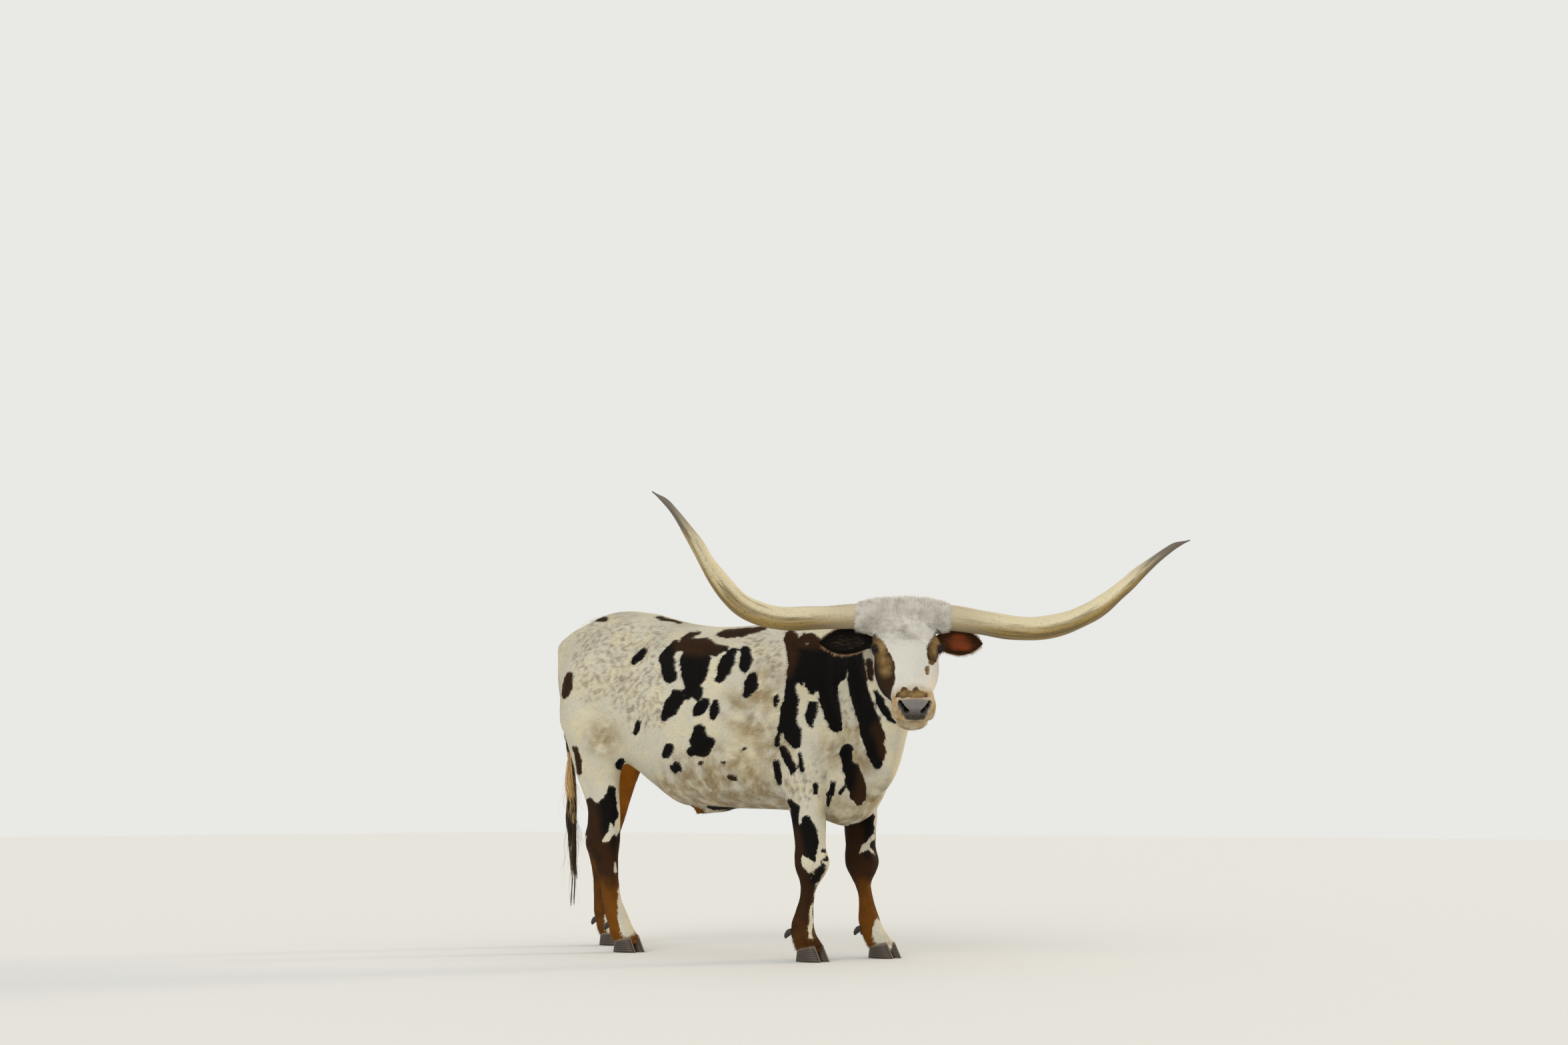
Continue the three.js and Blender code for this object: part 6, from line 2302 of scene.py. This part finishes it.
@dataclass(frozen=True)
class HoofFinish:
    """Dark worn hoof horn with growth rings that run level round the claw."""

    base: str = "#4A3D30"
    ring: str = "#2E251D"
    edge: str = "#8A7B66"

    def material(self) -> bpy.types.Material:
        """Return the material; the claw's own attribute gives its height from sole to coronet.

        Growth rings are a sine of that height, made uneven by noise.

        Returns:
            The material.
        """
        n, ink = Nodes("hoof horn"), inks(self)
        add = n.add
        height = add("Attribute height").outputs["Fac"]
        root = add("Attribute root").outputs["Vector"]
        broad, fine = (
            add("TexNoise", Vector=root, Scale=1.0 / (size * MM), Detail=3.0, Roughness=0.55)
            for size in (30.0, 6.0)
        )
        rings = add("Math SINE", add("Math MULTIPLY_ADD", broad, 3.0, add("Math MULTIPLY", height, 46.0)))
        worn = add("MapRange SMOOTHSTEP", add("Math ADD", rings, fine), 0.1, 1.5)
        top = add("Math MULTIPLY", add("MapRange SMOOTHSTEP", height, 0.75, 1.0), 0.6)
        colour = add("Mix RGBA", top, add("Mix RGBA", worn, ink["ring"], ink["base"]), ink["edge"])
        bump = add("Bump", Strength=0.5, Distance=1.0 * MM, Height=rings)
        return n.finish(add("BsdfPrincipled", Base_Color=colour, Roughness=0.5, Normal=bump))


@dataclass(frozen=True)
class Foot:
    """One foot's two claws and two dewclaws."""

    leg: str
    table: Sequence
    hand: Hand
    sway: Sequence

    def build(self, material: bpy.types.Material) -> None:
        """Make the claws as stacks of sections, and the dewclaws as short cones.

        Args:
            material: Its material.
        """
        _, back, front, middle, _, _ = self.table[-1]
        shift = np.asarray(self.sway, float)
        x = (back + front) / 2 + row_at(shift, np.array([0.0]))[0, 0]
        behind = back + row_at(shift, np.array([110.0]))[0, 0] - 40.0
        for place, turn in (("inner", -1.0), ("outer", 1.0)):
            side = self.hand.value
            self.claw(f"claw_{self.leg}_{place}", x, side * (middle + turn * 27.5), side * turn, material)
            line = [(20, 8, 12), (4, 2, 13), (-9, -10, 10), (-14, -20, 5), (-15, -23, 1.5)]
            rows = [(behind + a, side * (middle + turn * 24.0), 112.0 + b, r) for a, b, r in line]
            shell = Shell.tube(packed(bent_loft(rows, 30, 28)))
            self.finish(shell, f"dewclaw_{self.leg}_{place}", material, np.full(len(shell.points), 0.5))

    def claw(self, name: str, x: float, y: float, hand: float, material: bpy.types.Material) -> None:
        """Make one claw: narrower at the toe, its top sloping up to the front, its sole edge rounded.

        Args:
            name: The claw's name.
            x: Its place along the foot.
            y: Its place across the foot.
            hand: Which side of the foot it is on, 1 or -1.
            material: Its material.
        """
        v = np.array([0.0, 0.004, 0.015, 0.04, *np.linspace(0.08, 1.0, 26)])[:, None]
        heel, toe = -55.0 + 8.0 * v, 68.0 - 34.0 * v**0.9
        width = row_at(np.array([[0, 0.86], [0.02, 0.93], [0.08, 0.98], [0.5, 0.95], [1, 0.9]]), v[:, 0])
        flat = superellipse(np.tile([1.0, -1.0, 1.0, 0.0, 2.3, 2.3], (len(v), 1)), 48)
        along = (heel + toe) / 2 + flat[..., 0] * (toe - heel) / 2 * np.where(v < 0.02, 0.985, 1.0)
        across = flat[..., 1] * 26.0 * width * (1.0 - 0.18 * np.maximum(flat[..., 0], 0.0))
        height = v * (48.0 + 0.2 * (along + 55.0))
        rings = np.stack([x + along, y + hand * (across + 0.03 * along), height], -1)
        shell = Shell.tube(packed(rings))
        share = np.append(np.broadcast_to(v, along.shape).ravel(), [0.0, 1.0])
        self.finish(shell, name, material, share)

    @staticmethod
    def finish(shell: Shell, name: str, material: bpy.types.Material, height: Array) -> None:
        """Put a claw in place of its solid.

        Args:
            shell: The surface.
            name: The name it gets.
            material: Its material.
            height: Height on the claw, 0 to 1, for each point.
        """
        piece = shell.piece(name, material, "hoof")
        set_field(piece.data, "height", height)
        set_field(piece.data, "root", shell.points)
        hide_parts(name)


@dataclass(frozen=True)
class Switch:
    """The tail's brush: locks of long wavy hair gathered round the end of the dock, with loose strands."""

    top: float = 905.0
    root: float = 780.0
    tip: float = 172.0
    x: float = -880.0

    def build(self, material: bpy.types.Material, seed: int) -> bpy.types.Object:
        """Make the brush.

        Each strand follows its lock, whose line leaves the dock, bulges out and hangs down; a strand keeps
        its place across the lock, drawn in towards the lock's end, and waves a little of its own.

        Args:
            material: Its material.
            seed: Seed of the random draws.

        Returns:
            The brush's object.
        """
        random = np.random.default_rng(seed)
        locks, each, loose, pale = 30, 70, 90, 13
        s = np.linspace(0.0, 1.0, 15)
        fair = np.arange(locks) < pale
        start = np.where(fair, 850.0, 800.0) - np.where(fair, 60.0, 150.0) * random.random(locks)
        end = self.tip + 300.0 * random.random(locks) ** 0.7
        end[fair] = random.uniform(530.0, 670.0, pale)
        end[-1] = self.tip
        turn = random.uniform(0.0, 2.0 * math.pi, locks)
        turn[fair] = random.uniform(1.1, 1.8, pale) * math.pi
        bulge = np.where(fair, random.uniform(16.0, 30.0, locks), random.uniform(4.0, 20.0, locks))
        speed = random.uniform(6.0, 12.0, locks)[:, None]
        wave = random.uniform(3.0, 9.0, locks)[:, None] * np.sin(s * speed + turn[:, None]) * s
        swell = np.sin(math.pi * np.minimum(1.3 * s, 1.0)) ** 0.8
        out = 8.0 + bulge[:, None] * swell * (1.0 - 0.6 * s) + wave
        z = start[:, None] + (end - start)[:, None] * s
        dock = np.asarray(DOCK, float)
        middle = np.interp(-z, -dock[:, 2], dock[:, 0]) + (self.x + 888.0) * s + 14.0 * s**2
        line = np.stack([middle + np.cos(turn)[:, None] * out, np.sin(turn)[:, None] * out, z], -1)
        rows = np.repeat(line, each, axis=0)
        count = len(rows)
        ball = random.normal(0.0, 1.0, (count, 1, 3)) * [1.0, 1.0, 6.0]
        width = (6.0 * (0.3 + np.sin(math.pi * np.minimum(0.15 + s, 1.0))) * (1.0 - 0.6 * s))[None, :, None]
        phase = random.uniform(0.0, 6.3, (count, 1))
        own = 1.8 * np.stack([np.sin(9 * s + phase), np.cos(8 * s + phase), 0 * s + 0 * phase], -1)
        paths = rows + ball * width / 3.0 + own * s[None, :, None]
        stray = random.choice(count, loose, replace=False)
        curls = 7.0 * np.sin(14.0 * s + phase[stray])[..., None]
        apart = random.normal(0.0, 26.0, (loose, 1, 2)) * (s[None, :, None] ** 1.5)
        paths[stray, :, :2] += apart + curls * s[None, :, None]
        shade = np.repeat(fair * 0.8, each) * random.uniform(0.55, 1.25, count)
        shade = np.clip(shade + random.random(count) ** 5 * 0.5, 0.0, 1.0)
        half = random.uniform(0.5, 1.4, count)[:, None] * (1.0 - 0.8 * s)[None, :]
        chart = Chart((self.x, 0.0, 900.0), (0.0, 0.0, -1.0), (-1.0, 0.0, 0.0), 0.0, 160.0)
        piece = strands("tail_brush", "tail_hair", material, paths, half, shade, chart, seed + 1)
        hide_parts("tail_brush")
        return piece


@dataclass(frozen=True)
class Studio:
    """A pale floor without an edge in sight, under soft light with a warm low light from behind."""

    floor: str = "#DADAD8"
    air: str = "#E9E9E6"

    def build(self) -> None:
        """Make the floor, the air and the lights."""
        n = Nodes("pale floor")
        paint = n.finish(n.add("BsdfPrincipled", Base_Color=linear(self.floor), Roughness=0.9))
        reach = 40.0
        corners = reach * np.array([[-1.0, -1.0, 0.0], [1.0, -1.0, 0.0], [1.0, 1.0, 0.0], [-1.0, 1.0, 0.0]])
        mesh = Shell(corners, [np.array([[0, 1, 2, 3]])]).mesh("floor")
        mesh.materials.append(paint)
        floor = bpy.data.objects.new("floor", mesh)
        bpy.context.collection.objects.link(floor)
        bpy.context.scene.view_settings.view_transform = "Standard"
        world = bpy.data.worlds.new("studio")
        bpy.context.scene.world = world
        world.use_nodes = True
        air = world.node_tree.nodes["Background"]
        air.inputs["Color"].default_value = linear(self.air)
        air.inputs["Strength"].default_value = 1.0
        self.sun("key", azimuth=-78.0, rise=30.0, energy=1.15, spread=40.0, colour="#FFFDF8")
        self.sun("warm", azimuth=62.0, rise=14.0, energy=1.5, spread=12.0, colour="#FFE0B4")

    @staticmethod
    def sun(name: str, azimuth: float, rise: float, energy: float, spread: float, colour: str) -> None:
        """Add a distant light that shines from an azimuth, turned from +X to +Y, and a height, in degrees.

        Args:
            name: The lamp's name.
            azimuth: Direction it comes from, in degrees.
            rise: How high it stands, in degrees.
            energy: Its strength.
            spread: How broad it looks, in degrees.
            colour: Its colour.
        """
        data = bpy.data.lights.new(name, "SUN")
        data.energy = energy
        data.angle = math.radians(spread)
        data.color = linear(colour)[:3]
        lamp = bpy.data.objects.new(name, data)
        a, e = math.radians(azimuth), math.radians(rise)
        way = Vector((math.cos(e) * math.cos(a), math.cos(e) * math.sin(a), math.sin(e)))
        lamp.rotation_euler = way.to_track_quat("Z", "Y").to_euler()
        lamp.location = way * 12.0
        bpy.context.collection.objects.link(lamp)


def long_on_back(points: Array) -> Array:
    """Return the coat's length as a share of the usual: longer on the back, shorter under the belly."""
    return 1.0 + 0.25 * ease(1250, 1400, points[:, 2]) - 0.25 * ease(800, 620, points[:, 2])


def short_on_muzzle(points: Array) -> Array:
    """Return the length of the face's hair as a share of the usual: shorter down to the muzzle."""
    return 0.78 + 0.4 * ease(330, 90, to_head(points)[:, 0])


def short_by_horns(points: Array) -> Array:
    """Return the length of the poll's hair as a share of the usual: short beside the horns."""
    return 1.0 - 0.75 * ease(100, 185, np.abs(to_head(points)[:, 1]))


@dataclass
class Steer:
    """The whole dressed animal."""

    skin: Skin = field(default_factory=Skin)

    def build(self) -> None:
        """Make the hide with its pattern, the coat, and every small piece."""
        self.skin.build()
        log.info("skin: %d points", len(self.skin.points))
        markings = Markings(self.skin)
        points, normals = self.skin.points, self.skin.normals
        fields = markings.fields(points, normals)
        hair = HairFinish().material()
        hide = Shell(points, [self.skin.quads]).piece("hide", hair, "hide")
        for key, value in {**fields, "root": points, "hair": np.zeros((len(points), 3))}.items():
            set_field(hide.data, key, value)
        legs = ("leg_fore_right", "leg_fore_left", "leg_hind_right", "leg_hind_left")
        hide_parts("torso", "neck", "head", "tail", *legs)
        pelt = Pelt(points, self.skin.triangles(), normals, Lie().at(points, normals), fields)
        self.coat(Coat(pelt, hair))
        log.info("coat done")
        self.head(markings, hair)
        self.feet_and_tail()

    def coat(self, coat: Coat) -> None:
        """Grow the coat in pieces, short on the face and feet and long on the poll.

        Args:
            coat: The coat to grow.
        """
        x, y, z = coat.pelt.middle.T
        in_head = to_head(coat.pelt.middle)
        head = self.skin.away_from_head(coat.pelt.middle) < 0.5
        bare = np.clip(coat.pelt.fields["bare"] + coat.pelt.fields["face"][:, 1], 0.0, 1.0)
        clothed = 1.0 - ease(0.004, 0.03, bare[coat.pelt.corners].max(1))
        for hand in (1.0, -1.0):
            eye = (np.array(EYE_PLACE) + 20.0 * unit(np.array(EYE_GAZE))) * [1.0, hand, 1.0]
            clothed = clothed * ease(15, 21, np.linalg.norm(in_head - eye, axis=1))
        fore = x > 200.0
        near_legs = np.abs(x - np.where(fore, 640.0, -690.0)) < 330.0
        leg = np.where(fore, z < 600.0, z < 740.0) & ~head & near_legs
        leg &= ~((x < -900.0) & (z > 700.0))
        front, right = x > 640.0, y < 0.0
        trunk = Chart((0.0, 0.0, 1050.0), (1.0, 0.0, 0.0), (0.0, 0.0, 1.0), -960.0, 1250.0)
        brow = from_head(HEAD_MIDDLE * [0.0, 1.0, 1.0])
        face = Chart(tuple(brow), tuple(HEAD[0]), tuple(HEAD[2]), -60.0, 600.0)
        body = Tuft(14.5, 1.8, 2.2, 125000, 0.24, 0.35, 2, 160000)
        for number, (name, where) in enumerate({
            "rear_right": (x < -220.0) & right, "rear_left": (x < -220.0) & ~right,
            "fore_right": (x >= -220.0) & ~front & right, "fore_left": (x >= -220.0) & ~front & ~right,
            "neck": front,
        }.items()):
            coat.grow(f"coat_{name}", body, where & ~leg & ~head, trunk, SEED + number, long_on_back)
        short = Tuft(10, 1.6, 1.5, 130000, 0.24, 0.35, 2, 90000)
        feet = {"fore_right": (640.0, fore & right), "fore_left": (640.0, fore & ~right),
                "hind_right": (-640.0, ~fore & right), "hind_left": (-760.0, ~fore & ~right)}
        for number, (name, (middle, where)) in enumerate(feet.items()):
            hand = -1.0 if name.endswith("right") else 1.0
            chart = Chart((middle, hand * 170.0, 0.0), (0.0, 0.0, 1.0), (0.0, -hand, 0.0), 30.0, 900.0)
            coat.grow(f"coat_leg_{name}", short, where & leg, chart, SEED + 20 + number)
            coronet = ease(40, 62, z) * ease(118, 84, z) * (where & leg)
            coat.grow(f"coronet_{name}", Tuft(22, 1.6, 5, 60000, 0.35), coronet, chart, SEED + 30 + number)
        fine = Tuft(11, 1.4, 1.9, 230000, 0.3, 0.35, 2, 150000)
        coat.grow("coat_head", fine, head * clothed, face, SEED + 40, short_on_muzzle)
        poll = ease(150, 60, in_head[:, 0]) * ease(-120, -40, in_head[:, 2]) * head
        shaggy = Tuft(28, 1.3, 6.5, 190000, 0.38, 0.5, 4, 38000)
        coat.grow("coat_poll", shaggy, poll, face, SEED + 41, short_by_horns)
        crown = ease(250, 120, in_head[:, 0]) * ease(-90, -30, in_head[:, 2]) * head
        coat.grow("coat_brow", Tuft(19, 1.2, 3.2, 160000, 0.34, 0.45, 4, 38000), crown, face, SEED + 42)
        whorl = bell(np.linalg.norm(in_head - WHORL, axis=1), 24.0)
        folded = np.abs(in_head * [1.0, -1.0, 1.0]) - [97.0, 97.0, 12.0]
        whorl = (whorl + bell(np.linalg.norm(folded, axis=1), 22.0)) * head
        coat.grow("coat_whorl", Tuft(14, 1.1, 6, 500000, 1.3, 0.5, 4, 6000), whorl, face, SEED + 46)
        chin = ease(430, 500, in_head[:, 0]) * ease(-135, -160, in_head[:, 2]) * head
        coat.grow("coat_chin", Tuft(11, 0.9, 4, 60000, 0.4, 0.5, 4), chin, face, SEED + 43)
        off_sheath = (coat.pelt.middle - [-130.0, 0.0, 590.0]) / [50.0, 60.0, 40.0]
        sheath = np.exp(-(off_sheath**2).sum(1))
        coat.grow("coat_sheath", Tuft(15, 0.9, 5, 30000, 0.4, 0.5, 5), sheath, trunk, SEED + 44)
        off_dock = (coat.pelt.middle - [-715.0, -20.0, 1440.0]) / [34.0, 40.0, 40.0]
        head_of_tail = np.exp(-(off_dock**2).sum(1))
        coat.grow("coat_dock", Tuft(38, 1.6, 20, 26000, 0.6, 0.5, 5), head_of_tail, trunk, SEED + 45)

    @staticmethod
    def head(markings: Markings, hair: bpy.types.Material) -> None:
        """Make horns, ears and eyes.

        Args:
            markings: The pattern of the coat.
            hair: Material of the hair.
        """
        horn = HornFinish().material()
        # The ear's russet and orange are the painted glow of light shining through the left ear.
        ear = HairFinish(name="ear hair", russet="#A04A22", painted_glow="#C8602E").material()
        fringe = StrandFinish("ear fringe", "#1E120C", "#B08E68").material()
        eye = EyeFinish().material()
        tables = {Hand.LEFT: HORN_LEFT, Hand.RIGHT: HORN_RIGHT}
        for number, hand in enumerate(Hand):
            Horn(hand, tables[hand]).build(horn)
            Ear(hand).build(ear, fringe, SEED + 60 + number)
            Eye(hand).build(eye, hair, fringe, markings, SEED + 80 + number)

    @staticmethod
    def feet_and_tail() -> None:
        """Make the claws and the brush of the tail."""
        horn = HoofFinish().material()
        feet = [
            Foot("fore_right", FORELEG, Hand.RIGHT, STILL),
            Foot("fore_left", FORELEG, Hand.LEFT, FORE_LEFT_SWAY),
            Foot("hind_right", HINDLEG, Hand.RIGHT, STILL),
            Foot("hind_left", HINDLEG, Hand.LEFT, HIND_LEFT_SWAY),
        ]
        for foot in feet:
            foot.build(horn)
        Switch().build(StrandFinish("tail hair", "#0E0906", "#E2BE82").material(), SEED + 90)


def main() -> None:
    """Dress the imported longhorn."""
    logging.basicConfig(level=logging.INFO)
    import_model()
    Viewpoint().build()
    Steer().build()
    Studio().build()


if __name__ == "__main__":
    main()
